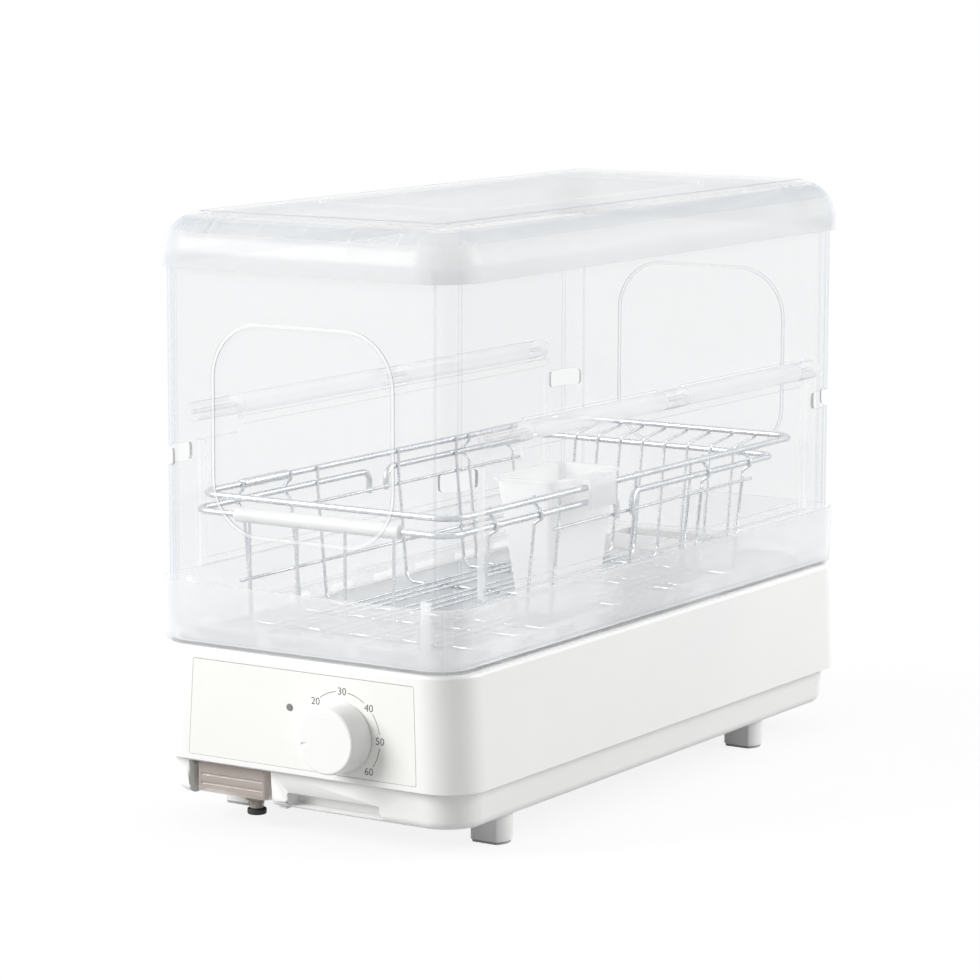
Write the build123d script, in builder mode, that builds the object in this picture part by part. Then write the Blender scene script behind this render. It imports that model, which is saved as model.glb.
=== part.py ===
from build123d import *
import os

os.makedirs("parts", exist_ok=True)

# An electric dish dryer: a heated base, a drip tray, a wire basket and a clear hood with two side doors.
# Millimetres. X runs across the dryer, Y from its front to its back, and Z up from the feet's bottom.
# Heights are counted from the surface that the dryer stands on, other places from the body's centre.

# Shared thicknesses and clearances
clear_wall = 2.0
case_wall = 2.5
running_gap = 0.05
seat_gap = 0.3
slide_gap = 0.4
overrun = 2.0

# Base casing: the housing's plan and the two heights that the rest hangs on
housing_half_y = 237.0
housing_low_half_x = 112.8
housing_high_inset = 3.9
housing_height = 68.7
housing_corner = 27.0
housing_edge_radius = 2.5
rebate_depth = 2.5
rebate_wall = 1.2
case_height = 23.5
case_low_inset_x = 6.2
case_high_inset_x = 5.2
case_low_inset_y = 7.9
case_high_inset_y = 5.9
case_corner = 25.0
case_edge_radius = 6.0

# Control panel, lamp and timer dial
panel_left_inset = 36.3
panel_right_inset = 32.7
panel_foot_margin = 3.2
panel_head_margin = 7.0
panel_flare_left = 3.8
panel_flare_right = 1.8
panel_corner = 1.5
panel_thickness = 1.2
dial_x_share = 0.2695
dial_above_case = 26.7
dial_face_radius = 19.5
dial_base_radius = 20.7
dial_length = 17.6
dial_wall = 2.0
dial_gap = 0.5
dial_hub_radius = 5.5
pointer_length = 4.0
pointer_width = 1.6
pointer_depth = 0.6
pointer_inset = 1.2
pointer_angle = 190.0
shaft_radius = 3.0
shaft_grip = 10.0
bushing_radius = 4.8
timer_width = 40.0
timer_height = 34.0
timer_depth = 24.0
timer_corner = 4.0
lamp_from_dial_x = 37.1
lamp_above_dial = 13.0
lamp_radius = 2.1
lamp_dome = 0.6
lamp_flange_radius = 4.0
lamp_flange = 2.0

# Feet
foot_height = 17.8
foot_inset_x = 17.4
foot_front_inset = 61.1
foot_rear_inset = 90.6
foot_radius = 12.4
foot_flat = 9.0
foot_wall = 2.4
pad_thickness = 1.5
pad_inset = 1.0

# Drain drawer under the left of the front, with its rubber plug
bay_inset = 21.6
bay_width = 60.0
bay_depth = 150.0
bay_wall = 2.0
bay_roof = 2.0
drawer_wall = 1.6
drawer_above_foot = 2.7
drawer_below_case = 2.9
drawer_length = 140.0
drawer_side_gap = 1.2
drawer_flange = 2.6
drawer_flange_thickness = 1.6
runner_thickness = 1.6
drawer_corner = 4.0
grip_step_share = 0.3
drain_collar_radius = 7.0
drain_collar_depth = 4.0
drain_spout_radius = 4.3
drain_spout_wall = 1.2
drain_spout_depth = 9.3
plug_off_middle = 7.0
plug_from_front = 16.0
plug_disc_radius = 5.8
plug_disc_thickness = 3.6
plug_disc_edge = 0.8
plug_neck_length = 9.0
post_width = 5.7
post_drop = 2.0

# Finger slot at the right of the front
slot_from_post = 5.3
slot_inset = 55.1
slot_above_foot = 1.6
slot_height = 8.4
slot_depth = 14.0
slot_corner = 1.5

# Drip tray: a frosted wall round the foot of the hood, a ledge inside it and a drained floor
tray_low_inset_x = 5.1
tray_high_inset_x = 4.6
tray_low_overhang_y = 1.5
tray_high_overhang_y = 3.1
tray_corner = 24.0
tray_height = 38.2
tray_wall = 2.0
tray_edge_radius = 4.0
ledge_height = 12.0
ledge_width = 9.0
ledge_thickness = 1.8
tray_rib_inset = 19.4
tray_rib_width = 5.2
tray_rib_depth = 3.0
tray_rib_proud = 2.6
window_margin = 1.3
window_bar = 7.2
window_middle_half = 27.8
window_end_inset = 17.7
side_window_count = 9
side_window_end = 19.25
side_window_share = 0.53
side_window_shift = 4.8
spout_radius = 6.0
spout_wall = 1.6
spout_length = 14.0
spout_from_front = 50.0

# Hot-air outlet: a sleeve through the deck and the tray, with a grille at its foot
outlet_width = 90.0
outlet_length = 30.0
outlet_from_back = 34.0
outlet_wall = 2.0
outlet_corner = 6.0
outlet_flange = 3.0
outlet_flange_thickness = 1.6
grille_bar_width = 1.6
grille_bar_count = 6
collar_height = 12.0
collar_gap = 1.0

# Hood shell
hood_inset_x = 5.3
hood_inset_y = 5.5
hood_corner = 12.0
hood_height = 219.0
opening_margin = 34.0
opening_low_gap = 0.8
arch_inset = 38.0
arch_above_hood_foot = 55.0
arch_below_hood_top = 37.0
arch_corner = 34.0
arch_bead_width = 2.2
arch_bead_depth = 0.8
catch_below_hinge = 16.4
catch_height = 11.4
catch_reach_x = 8.9
catch_reach_y = 28.5
catch_corner = 3.0

# Side doors and their hinges
hinge_above_hood_foot = 121.0
hinge_proud = 1.5
hinge_radius = 6.0
hinge_swing_gap = 0.7
hinge_end_gap = 0.4
pin_radius = 1.5
door_gap = 0.6
door_rib = 2.4
door_rib_width = 5.0
knuckle_front_length = 43.0
knuckle_mid_length = 28.0
knuckle_rear_length = 20.0
knuckle_rear_margin = 5.0
bracket_drop = 16.0

# Lid
lid_overhang_x = 7.4
lid_overhang_y = 7.0
lid_lap = 7.8
lid_rise = 24.7
lid_corner = 30.0
lid_edge_radius = 26.0
crown_inset_x = 48.8
crown_inset_y = 101.0
crown_corner = 16.0
crown_height = 1.6
crown_bead = 3.0
vent_length = 7.0
vent_width = 2.6
vent_pitch = 10.4
vent_count = 10
vent_row_pitch = 9.0
vent_row_inset = 60.0
gusset_thickness = 1.6
gusset_width = 13.0
gusset_pitch = 33.0
gusset_count = 5
side_gusset_pitch = 11.0
side_gusset_count = 3
side_gusset_inset = 56.0

# Wire basket: the places along it are shares of the length from the rim's front to the rear rail
rail_radius = 2.0
wire_radius = 1.0
basket_inset_x = 11.6
basket_front_inset = 21.0
basket_back_inset = 31.0
rim_above_floor = 84.8
rim_corner = 15.0
rail_below_rim = 9.2
rail_front_proud = 5.0
rail_back_inset = 28.0
rail_corner = 12.0
rail_end_bend = 8.0
rail_end_drop = 14.2
front_rail_end_share = 0.47
rear_rail_end_share = 0.519
side_wire_below_rail = 11.8
side_wire_start_share = 0.288
low_wire_above_floor = 27.0
low_wire_start_share = 0.091
side_wire_end_share = 0.925
wall_lean = 6.0
wire_bend = 8.0
plain_wire_shares = (0.311, 0.544, 0.72)
hooked_wire_shares = (0.109, 0.237, 0.76, 0.899)
hook_bend = 1.5
hook_below_rail = 5.5
hook_rise = 3.5
hook_above_rail = 1.5
hook_below_rim = 2.5
front_wire_share = 0.3767
front_wire_count = 4
rear_wire_share = 0.1905
rear_wire_count = 8
rear_wall_lean = 8.0
weld = 0.3
grip_radius = 4.4
grip_inset = 31.8
grip_end_radius = 2.0
sleeve_radius = 3.0
sleeve_margin = 2.0

# Cutlery holder
holder_wall = 1.6
holder_above_wires = 5.0
holder_above_rim = 5.9
holder_top_inset = 7.8
holder_top_width = 42.0
holder_top_length = 76.0
holder_low_inset = 9.8
holder_low_width = 28.0
holder_low_length = 55.0
holder_low_shift = 5.5
holder_y_share = 0.412
holder_corner = 6.0
holder_flange = 2.6
holder_flange_thickness = 1.8
clip_length = 29.0
clip_shift = 2.5
clip_drop = 15.0
clip_thickness = 2.0
holder_slot_width = 3.0
holder_slot_length = 20.0
holder_slot_pitch = 8.0
holder_slot_count = 3

# Fan, heater and the other inner pieces
fan_from_outlet = 83.0
motor_radius = 26.0
motor_height = 26.0
motor_shaft_radius = 2.5
motor_shaft_length = 26.0
wheel_radius = 38.0
wheel_inner_radius = 30.0
wheel_height = 20.0
wheel_plate = 1.6
wheel_hub_radius = 7.0
blade_count = 20
blade_thickness = 1.2
blade_angle = 30.0
scroll_wall = 2.0
scroll_gap = 5.0
duct_width = 64.0
heater_wire_radius = 1.1
heater_coil_count = 7
heater_plate = 1.5
heater_margin = 3.0
thermostat_radius = 7.0
thermostat_height = 8.0
inlet_slot_width = 4.0
inlet_slot_length = 46.0
inlet_slot_pitch = 9.0
inlet_slot_count = 7
gland_inset = 40.8
gland_above_case = 20.7
gland_radius = 8.0
gland_hole_radius = 3.6
gland_flange_radius = 10.5
gland_flange = 2.5
gland_reach = 5.0
screw_inset_x = 14.6
screw_inset_y = 24.1
screw_shank_radius = 1.7
screw_head_radius = 3.4
screw_head = 2.4
screw_length = 22.0
boss_radius = 4.6
boss_height = 13.0
drain_pipe_radius = 9.0
drain_pipe_wall = 1.6

# Heights worked out from the sizes above
case_low = foot_height
case_high = case_low + case_height
housing_low = case_high
deck_high = housing_low + housing_height
deck_low = deck_high - case_wall
tray_low = deck_high
tray_high = tray_low + tray_height
tray_floor = tray_low + tray_wall
ledge_z = tray_low + ledge_height
hood_low = ledge_z
hood_top = hood_low + hood_height
hinge_z = hood_low + hinge_above_hood_foot
opening_low = tray_high + opening_low_gap
opening_high = hinge_z + hinge_radius + hinge_swing_gap
bracket_low = hinge_z - bracket_drop
catch_high = hinge_z - catch_below_hinge
catch_low = catch_high - catch_height
arch_low = hood_low + arch_above_hood_foot
arch_high = hood_top - arch_below_hood_top
lid_low = hood_top - lid_lap
lid_high = hood_top + lid_rise
dial_z = housing_low + dial_above_case
lamp_z = dial_z + lamp_above_dial
panel_low = housing_low + panel_foot_margin
panel_high = deck_high - panel_head_margin
drawer_low = case_low + drawer_above_foot
drawer_high = case_high - drawer_below_case
slot_low = case_low + slot_above_foot
slot_high = slot_low + slot_height
gland_z = housing_low + gland_above_case

# Reaches to each side and to the ends, from the housing's own
housing_high_half_x = housing_low_half_x - housing_high_inset
case_low_half_x = housing_low_half_x - case_low_inset_x
case_high_half_x = housing_low_half_x - case_high_inset_x
case_low_half_y = housing_half_y - case_low_inset_y
case_high_half_y = housing_half_y - case_high_inset_y
tray_low_half_x = housing_low_half_x - tray_low_inset_x
tray_high_half_x = housing_low_half_x - tray_high_inset_x
tray_low_half_y = housing_half_y + tray_low_overhang_y
tray_high_half_y = housing_half_y + tray_high_overhang_y
hood_half_x = tray_low_half_x - hood_inset_x
hood_half_y = tray_low_half_y - hood_inset_y
opening_half_y = hood_half_y - opening_margin
lid_half_x = hood_half_x + lid_overhang_x
lid_half_y = hood_half_y + lid_overhang_y
crown_half_x = lid_half_x - crown_inset_x
crown_half_y = lid_half_y - crown_inset_y
arch_half_x = hood_half_x - arch_inset
catch_front_x = hood_half_x - catch_reach_x
catch_side_y = hood_half_y - catch_reach_y
hinge_x = hood_half_x + hinge_proud
tray_rib_x = hood_half_x - tray_rib_inset
dial_x = housing_low_half_x * dial_x_share
lamp_x = dial_x - lamp_from_dial_x
panel_left = -housing_low_half_x + panel_left_inset
panel_right = housing_low_half_x - panel_right_inset
bay_left = -case_low_half_x + bay_inset
bay_right = bay_left + bay_width
bay_x = (bay_left + bay_right) / 2
slot_left = bay_right + post_width + slot_from_post
slot_right = case_low_half_x - slot_inset
outlet_y = housing_half_y - outlet_from_back
fan_y = outlet_y - fan_from_outlet
riser_high = deck_low - outlet_flange_thickness
gland_x = housing_low_half_x - gland_inset
screw_x = case_low_half_x - screw_inset_x
screw_y = case_low_half_y - screw_inset_y
foot_x = case_low_half_x - foot_inset_x
foot_front_y = -case_low_half_y + foot_front_inset
foot_rear_y = case_low_half_y - foot_rear_inset
spout_y = -housing_half_y + spout_from_front
basket_half_x = hood_half_x - basket_inset_x
rim_front = -hood_half_y + basket_front_inset
rim_back = hood_half_y - basket_back_inset
rail_front = rim_front - rail_front_proud
rail_back = rim_back - rail_back_inset
basket_run = rail_back - rim_front
rim_z = tray_floor + rim_above_floor
rail_z = rim_z - rail_below_rim
dial_front_y = -housing_half_y - dial_gap - dial_length
body_y = (-dial_front_y - tray_high_half_y) / 2
screw_places = [(x, y) for x in (-screw_x, screw_x) for y in (-screw_y, screw_y)]
foot_places = [(x, y) for x in (-foot_x, foot_x) for y in (foot_front_y, foot_rear_y)]


def level(height):
    """A horizontal plane at a height, centred on the body."""
    return Plane(origin=(0, body_y, height))


def upright(y):
    """A plane across the dryer at a distance from the body's centre, facing the front: x is X, y is Z."""
    return Plane(origin=(0, body_y + y, 0), x_dir=(1, 0, 0), z_dir=(0, -1, 0))


def sideways(x):
    """A plane along the dryer, facing +X: local x is Y from the body's centre, y is Z."""
    return Plane(origin=(x, body_y, 0), x_dir=(0, 1, 0), z_dir=(1, 0, 0))


def panel_corners(gap):
    """The panel's corners on the front, a little wider at its foot, drawn in by a gap on every side."""
    return [
        (panel_left - panel_flare_left + gap, panel_low + gap),
        (panel_right + panel_flare_right - gap, panel_low + gap),
        (panel_right - gap, panel_high - gap),
        (panel_left + gap, panel_high - gap),
    ]


def run_y(share):
    """A place along the basket, as a share of its run from the rim's front to the rear rail."""
    return rim_front + share * basket_run


def save(piece, name):
    """Label a finished piece and write its file."""
    piece.part.label = name
    export_step(piece.part, f"parts/{name}.step")


def wire_solid(points, radius, bends):
    """A round wire along straight runs with rounded bends; points are counted from the body's centre."""
    with BuildLine(Plane(origin=(0, body_y, 0)), mode=Mode.PRIVATE) as route:
        if len(points) > 2:
            FilletPolyline(*points, radius=bends)
        else:
            Line(*points)
    path = route.wires()[0]
    with BuildPart(mode=Mode.PRIVATE) as wire:
        with BuildSketch(Plane(origin=path @ 0, z_dir=path % 0)):
            Circle(radius)
        sweep(path=path)
    return wire.part


# Housing: the white upper casing, open below, with a recess for the panel and a hole for the air outlet
with BuildPart() as base_housing:
    with BuildSketch(level(housing_low)):
        RectangleRounded(2 * housing_low_half_x, 2 * housing_half_y, housing_corner)
    with BuildSketch(level(deck_high)):
        RectangleRounded(2 * housing_high_half_x, 2 * housing_half_y, housing_corner)
    loft()
    fillet(base_housing.faces().sort_by(Axis.Z)[-1].edges(), housing_edge_radius)
    with BuildSketch(level(housing_low)):
        RectangleRounded(
            2 * (housing_low_half_x - case_wall),
            2 * (housing_half_y - case_wall),
            housing_corner - case_wall,
        )
    with BuildSketch(level(deck_low)):
        RectangleRounded(
            2 * (housing_high_half_x - case_wall),
            2 * (housing_half_y - case_wall),
            housing_corner - case_wall,
        )
    loft(mode=Mode.SUBTRACT)
    with BuildSketch(level(housing_low)):
        RectangleRounded(
            2 * (housing_low_half_x - rebate_wall),
            2 * (housing_half_y - rebate_wall),
            housing_corner - rebate_wall,
        )
    extrude(amount=rebate_depth, mode=Mode.SUBTRACT)
    with BuildSketch(upright(-housing_half_y)) as panel_recess:
        with BuildLine():
            Polyline(*panel_corners(0), close=True)
        make_face()
        fillet(panel_recess.vertices(), panel_corner)
    extrude(amount=-panel_thickness, mode=Mode.SUBTRACT)
    with BuildSketch(upright(-housing_half_y)):
        with Locations((dial_x, dial_z)):
            Circle(bushing_radius + running_gap)
        with Locations((lamp_x, lamp_z)):
            Circle(lamp_radius + running_gap)
    extrude(amount=-case_wall - overrun, mode=Mode.SUBTRACT)
    with BuildSketch(level(deck_low - overrun)):
        with Locations((0, outlet_y)):
            RectangleRounded(
                outlet_width + 2 * seat_gap,
                outlet_length + 2 * seat_gap,
                outlet_corner + seat_gap,
            )
        with Locations((bay_x, spout_y)):
            Circle(spout_radius + seat_gap)
    extrude(amount=case_wall + 2 * overrun, mode=Mode.SUBTRACT)
    with BuildSketch(upright(housing_half_y)):
        with Locations((gland_x, gland_z)):
            Circle(gland_radius + running_gap)
    extrude(amount=case_wall + overrun, both=True, mode=Mode.SUBTRACT)
    with BuildSketch(level(case_low + boss_height)):
        with Locations(*screw_places):
            Circle(boss_radius)
    extrude(amount=deck_low - case_low - boss_height)
    with BuildSketch(level(case_low + boss_height)):
        with Locations(*screw_places):
            Circle(screw_shank_radius + running_gap)
    extrude(amount=screw_length, mode=Mode.SUBTRACT)
save(base_housing, "base_housing")

# Bottom case: a tub under the housing, with the drawer bay, the finger slot and the air inlet
bay_back = -case_low_half_y + bay_depth
bay_high = case_high - seat_gap
runner_z = drawer_high - drawer_flange_thickness - seat_gap - runner_thickness
with BuildPart() as case_form:
    with BuildSketch(level(case_low)):
        RectangleRounded(2 * case_low_half_x, 2 * case_low_half_y, case_corner)
    with BuildSketch(level(case_high)):
        RectangleRounded(2 * case_high_half_x, 2 * case_high_half_y, case_corner)
    loft()
    fillet(case_form.faces().sort_by(Axis.Z)[0].edges(), case_edge_radius)

with BuildPart() as bottom_case:
    add(case_form.part)
    with BuildSketch(level(case_low + case_wall)):
        RectangleRounded(
            2 * (case_low_half_x - case_wall), 2 * (case_low_half_y - case_wall), case_corner - case_wall
        )
    extrude(amount=case_height, mode=Mode.SUBTRACT)
    with BuildSketch(level(case_low)):
        with Locations((bay_x, -case_low_half_y + (bay_depth + bay_wall) / 2)):
            Rectangle(bay_width + 2 * bay_wall, bay_depth + bay_wall)
    extrude(amount=case_height - seat_gap)
    with BuildSketch(upright(-case_low_half_y + slot_depth)):
        with Locations(((slot_left + slot_right) / 2, (slot_high + case_low + case_wall) / 2)):
            Rectangle(slot_right - slot_left + 2 * case_wall, slot_high - case_low + case_wall)
    extrude(amount=slot_depth)
    add(case_form.part, mode=Mode.INTERSECT)
    with BuildSketch(level(case_high)):
        RectangleRounded(
            2 * (housing_low_half_x - rebate_wall - seat_gap),
            2 * (housing_half_y - rebate_wall - seat_gap),
            housing_corner - rebate_wall - seat_gap,
        )
        RectangleRounded(
            2 * (case_low_half_x - case_wall),
            2 * (case_low_half_y - case_wall),
            case_corner - case_wall,
            mode=Mode.SUBTRACT,
        )
    extrude(amount=rebate_depth)
    with BuildSketch(level(case_low - overrun)):
        with Locations((bay_x, -case_high_half_y + bay_depth / 2 - overrun)):
            Rectangle(bay_width, bay_depth + 2 * overrun)
    extrude(amount=bay_high - bay_roof - case_low + overrun, mode=Mode.SUBTRACT)
    with BuildSketch(level(runner_z)):
        with Locations(
            (bay_left + drawer_flange / 2, (bay_back - case_low_half_y + case_wall) / 2),
            (bay_right - drawer_flange / 2, (bay_back - case_low_half_y + case_wall) / 2),
        ):
            Rectangle(drawer_flange, bay_depth - case_wall)
    extrude(amount=runner_thickness)
    with BuildSketch(level(case_low - post_drop)):
        with Locations((bay_right + post_width / 2, -case_low_half_y + post_width / 2 + case_edge_radius)):
            Rectangle(post_width, post_width)
    extrude(amount=post_drop + case_wall)
    with BuildSketch(upright(-case_high_half_y - overrun)):
        with Locations(((slot_left + slot_right) / 2, (slot_low + slot_high) / 2)):
            RectangleRounded(slot_right - slot_left, slot_high - slot_low, slot_corner)
    extrude(amount=-slot_depth - overrun, mode=Mode.SUBTRACT)
    with BuildSketch(level(bay_high - bay_roof - overrun)):
        with Locations((bay_x, spout_y)):
            Circle(drain_pipe_radius - drain_pipe_wall)
    extrude(amount=bay_roof + 2 * overrun, mode=Mode.SUBTRACT)
    with BuildSketch(level(case_low - overrun)):
        with Locations((0, fan_y)):
            with GridLocations(inlet_slot_pitch, 0, inlet_slot_count, 1):
                SlotOverall(inlet_slot_length, inlet_slot_width, rotation=90)
    extrude(amount=case_wall + 2 * overrun, mode=Mode.SUBTRACT)
    with BuildSketch(level(case_low + case_wall)):
        with Locations(*screw_places):
            Circle(boss_radius)
    extrude(amount=boss_height - case_wall)
    with Locations(level(case_low)):
        with Locations(*screw_places):
            Cylinder(
                screw_shank_radius + running_gap,
                boss_height + overrun,
                align=(Align.CENTER, Align.CENTER, Align.MIN),
                mode=Mode.SUBTRACT,
            )
            Cylinder(
                screw_head_radius + seat_gap,
                2 * screw_head,
                align=(Align.CENTER, Align.CENTER, Align.MIN),
                mode=Mode.SUBTRACT,
            )
save(bottom_case, "bottom_case")

# Case screws: four, driven up from below into the housing's posts
with BuildPart() as case_screws:
    with Locations(level(case_low + screw_head)):
        with Locations(*screw_places):
            Cylinder(screw_head_radius, screw_head, align=(Align.CENTER, Align.CENTER, Align.MIN))
            Cylinder(screw_shank_radius, screw_length, align=(Align.CENTER, Align.CENTER, Align.MIN))
save(case_screws, "case_screws")

# Feet: hollow D-shaped posts under the case, each on a rubber pad
with BuildPart() as feet:
    with BuildSketch(level(pad_thickness)):
        with Locations(*foot_places):
            Circle(foot_radius)
        with Locations(*[(x, y - foot_flat - foot_radius / 2) for x, y in foot_places]):
            Rectangle(2 * foot_radius, foot_radius, mode=Mode.SUBTRACT)
    extrude(amount=foot_height - pad_thickness)
    with BuildSketch(level(pad_thickness)):
        with Locations(*foot_places):
            Circle(foot_radius - foot_wall)
        with Locations(*[(x, y - foot_flat + foot_wall - foot_radius / 2) for x, y in foot_places]):
            Rectangle(2 * foot_radius, foot_radius, mode=Mode.SUBTRACT)
    extrude(amount=foot_height - pad_thickness - foot_wall, mode=Mode.SUBTRACT)
save(feet, "feet")

with BuildPart() as foot_pads:
    with BuildSketch(level(0)):
        with Locations(*foot_places):
            Circle(foot_radius - pad_inset)
        with Locations(*[(x, y - foot_flat + pad_inset - foot_radius / 2) for x, y in foot_places]):
            Rectangle(2 * foot_radius, foot_radius, mode=Mode.SUBTRACT)
    extrude(amount=pad_thickness)
save(foot_pads, "foot_pads")

# Control panel: a thin inset plate, pierced for the dial's bushing and the lamp
with BuildPart() as control_panel:
    with BuildSketch(upright(-housing_half_y)) as panel_face:
        with BuildLine():
            Polyline(*panel_corners(seat_gap), close=True)
        make_face()
        fillet(panel_face.vertices(), panel_corner - seat_gap)
        with Locations((dial_x, dial_z)):
            Circle(bushing_radius + running_gap, mode=Mode.SUBTRACT)
        with Locations((lamp_x, lamp_z)):
            Circle(lamp_radius + running_gap, mode=Mode.SUBTRACT)
    extrude(amount=-panel_thickness)
save(control_panel, "control_panel")

# Power lamp: a small domed lens with a flange behind the wall
with BuildPart() as power_lamp:
    with BuildSketch(upright(-housing_half_y + case_wall)):
        with Locations((lamp_x, lamp_z)):
            Circle(lamp_flange_radius)
    extrude(amount=-lamp_flange)
    with BuildSketch(upright(-housing_half_y + case_wall)):
        with Locations((lamp_x, lamp_z)):
            Circle(lamp_radius)
    extrude(amount=case_wall + lamp_dome)
    fillet(power_lamp.faces().sort_by(Axis.Y)[0].edges(), lamp_dome / 2)
save(power_lamp, "power_lamp")

# Timer switch: its case behind the front wall, and the threaded bushing that holds it
with BuildPart() as timer_switch:
    with BuildSketch(upright(-housing_half_y + case_wall)):
        with Locations((dial_x, dial_z)):
            RectangleRounded(timer_width, timer_height, timer_corner)
    extrude(amount=-timer_depth)
    with BuildSketch(upright(-housing_half_y + case_wall)):
        with Locations((dial_x, dial_z)):
            Circle(bushing_radius)
    extrude(amount=case_wall)
    with BuildSketch(upright(-housing_half_y)):
        with Locations((dial_x, dial_z)):
            Circle(shaft_radius + running_gap)
    extrude(amount=-case_wall - timer_depth / 2, mode=Mode.SUBTRACT)
save(timer_switch, "timer_switch")

# Timer shaft, from inside the switch into the dial
shaft_back_y = -housing_half_y + case_wall + timer_depth / 2 - seat_gap
shaft_front_y = dial_front_y + dial_length - shaft_grip
with BuildPart() as timer_shaft:
    with BuildSketch(upright(shaft_back_y)):
        with Locations((dial_x, dial_z)):
            Circle(shaft_radius)
    extrude(amount=shaft_back_y - shaft_front_y)
save(timer_shaft, "timer_shaft")

# Timer dial: a drafted cap with a rounded face edge, a hub on the shaft and a pointer mark
dial_origin = Plane(origin=(dial_x, body_y + dial_front_y, dial_z), x_dir=(1, 0, 0), z_dir=(0, 0, 1))
with BuildPart() as timer_dial:
    with BuildSketch(dial_origin):
        with BuildLine():
            Polyline(
                (0, 0),
                (dial_face_radius, 0),
                (dial_base_radius, dial_length),
                (dial_base_radius - dial_wall, dial_length),
                (dial_face_radius - dial_wall, dial_wall),
                (dial_hub_radius, dial_wall),
                (dial_hub_radius, dial_length),
                (0, dial_length),
                close=True,
            )
        make_face()
    revolve(axis=Axis((dial_x, body_y, dial_z), (0, 1, 0)))
    face_edge = timer_dial.edges().filter_by(GeomType.CIRCLE).group_by(Axis.Y)[0].sort_by(SortBy.RADIUS)[-1]
    fillet(face_edge, dial_wall - running_gap)
    with BuildSketch(upright(dial_front_y + dial_length)):
        with Locations((dial_x, dial_z)):
            Circle(shaft_radius + running_gap)
    extrude(amount=shaft_grip + seat_gap, mode=Mode.SUBTRACT)
    with BuildSketch(upright(dial_front_y)):
        with Locations((dial_x, dial_z)):
            pointer_reach = dial_face_radius - pointer_inset - pointer_length
            with PolarLocations(pointer_reach, 1, start_angle=pointer_angle):
                SlotOverall(pointer_length, pointer_width)
    extrude(amount=-pointer_depth, mode=Mode.SUBTRACT)
save(timer_dial, "timer_dial")

# Drain drawer: an open tray that runs in the bay under the case, with a flange on each side
drawer_half_x = bay_width / 2 - drawer_side_gap - drawer_flange
drawer_front = -case_low_half_y
drawer_mid = drawer_front + drawer_length / 2
plug_x = bay_x + plug_off_middle
plug_y = drawer_front + plug_from_front
with BuildPart() as drain_drawer:
    with BuildSketch(level(drawer_low)):
        with Locations((bay_x, drawer_mid)):
            RectangleRounded(2 * drawer_half_x, drawer_length, drawer_corner)
    extrude(amount=drawer_high - drawer_low)
    with BuildSketch(level(drawer_high - drawer_flange_thickness)):
        with Locations((bay_x, drawer_mid + drawer_corner / 2)):
            Rectangle(2 * (drawer_half_x + drawer_flange), drawer_length - drawer_corner)
    extrude(amount=drawer_flange_thickness)
    with BuildSketch(level(drawer_low + drawer_wall)):
        with Locations((bay_x, drawer_mid)):
            RectangleRounded(
                2 * (drawer_half_x - drawer_wall),
                drawer_length - 2 * drawer_wall,
                drawer_corner - drawer_wall,
            )
    extrude(amount=drawer_high - drawer_low, mode=Mode.SUBTRACT)
    with BuildSketch(upright(drawer_front - overrun)):
        with Locations((bay_x, drawer_low + (drawer_high - drawer_low) * grip_step_share)):
            Rectangle(2 * drawer_half_x - 2 * drawer_corner, drawer_wall)
        with Locations((bay_x, drawer_low + (drawer_high - drawer_low) * 2 * grip_step_share)):
            Rectangle(2 * drawer_half_x - 2 * drawer_corner, drawer_wall)
    extrude(amount=-overrun - drawer_wall / 2, mode=Mode.SUBTRACT)
    with Locations(level(drawer_low)):
        with Locations((plug_x, plug_y)):
            Cylinder(drain_collar_radius, drain_collar_depth, align=(Align.CENTER, Align.CENTER, Align.MAX))
            Cylinder(drain_spout_radius, drain_spout_depth, align=(Align.CENTER, Align.CENTER, Align.MAX))
    with BuildSketch(level(drawer_low + drawer_wall + overrun)):
        with Locations((plug_x, plug_y)):
            Circle(drain_spout_radius - drain_spout_wall)
    extrude(amount=-drawer_wall - drain_spout_depth - 2 * overrun, mode=Mode.SUBTRACT)
save(drain_drawer, "drain_drawer")

# Drain plug: a rubber disc under the spout, with a neck that fills it
plug_high = drawer_low - drain_spout_depth - seat_gap
with BuildPart() as drain_plug:
    with Locations(level(plug_high)):
        with Locations((plug_x, plug_y)):
            Cylinder(plug_disc_radius, plug_disc_thickness, align=(Align.CENTER, Align.CENTER, Align.MAX))
    fillet(drain_plug.edges(), plug_disc_edge)
    with Locations(level(plug_high)):
        with Locations((plug_x, plug_y)):
            Cylinder(
                drain_spout_radius - drain_spout_wall - running_gap,
                plug_neck_length + seat_gap,
                align=(Align.CENTER, Align.CENTER, Align.MIN),
            )
save(drain_plug, "drain_plug")

# Air outlet sleeve: a tube up through the deck, with a flange under it and a grille across its foot
with BuildPart() as air_outlet_sleeve:
    with BuildSketch(level(riser_high)):
        with Locations((0, outlet_y)):
            RectangleRounded(
                outlet_width + 2 * outlet_flange,
                outlet_length + 2 * outlet_flange,
                outlet_corner + outlet_flange,
            )
    extrude(amount=outlet_flange_thickness)
    with BuildSketch(level(riser_high)):
        with Locations((0, outlet_y)):
            RectangleRounded(outlet_width, outlet_length, outlet_corner)
    extrude(amount=deck_high + collar_height - riser_high)
    with BuildSketch(level(riser_high - overrun)):
        with Locations((0, outlet_y)):
            RectangleRounded(
                outlet_width - 2 * outlet_wall, outlet_length - 2 * outlet_wall, outlet_corner - outlet_wall
            )
    extrude(amount=deck_high + collar_height - riser_high + 2 * overrun, mode=Mode.SUBTRACT)
    with BuildSketch(level(riser_high)):
        with Locations((0, outlet_y)):
            with GridLocations(outlet_width / (grille_bar_count + 1), 0, grille_bar_count, 1):
                Rectangle(grille_bar_width, outlet_length - outlet_wall)
    extrude(amount=outlet_flange_thickness)
save(air_outlet_sleeve, "air_outlet_sleeve")

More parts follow.
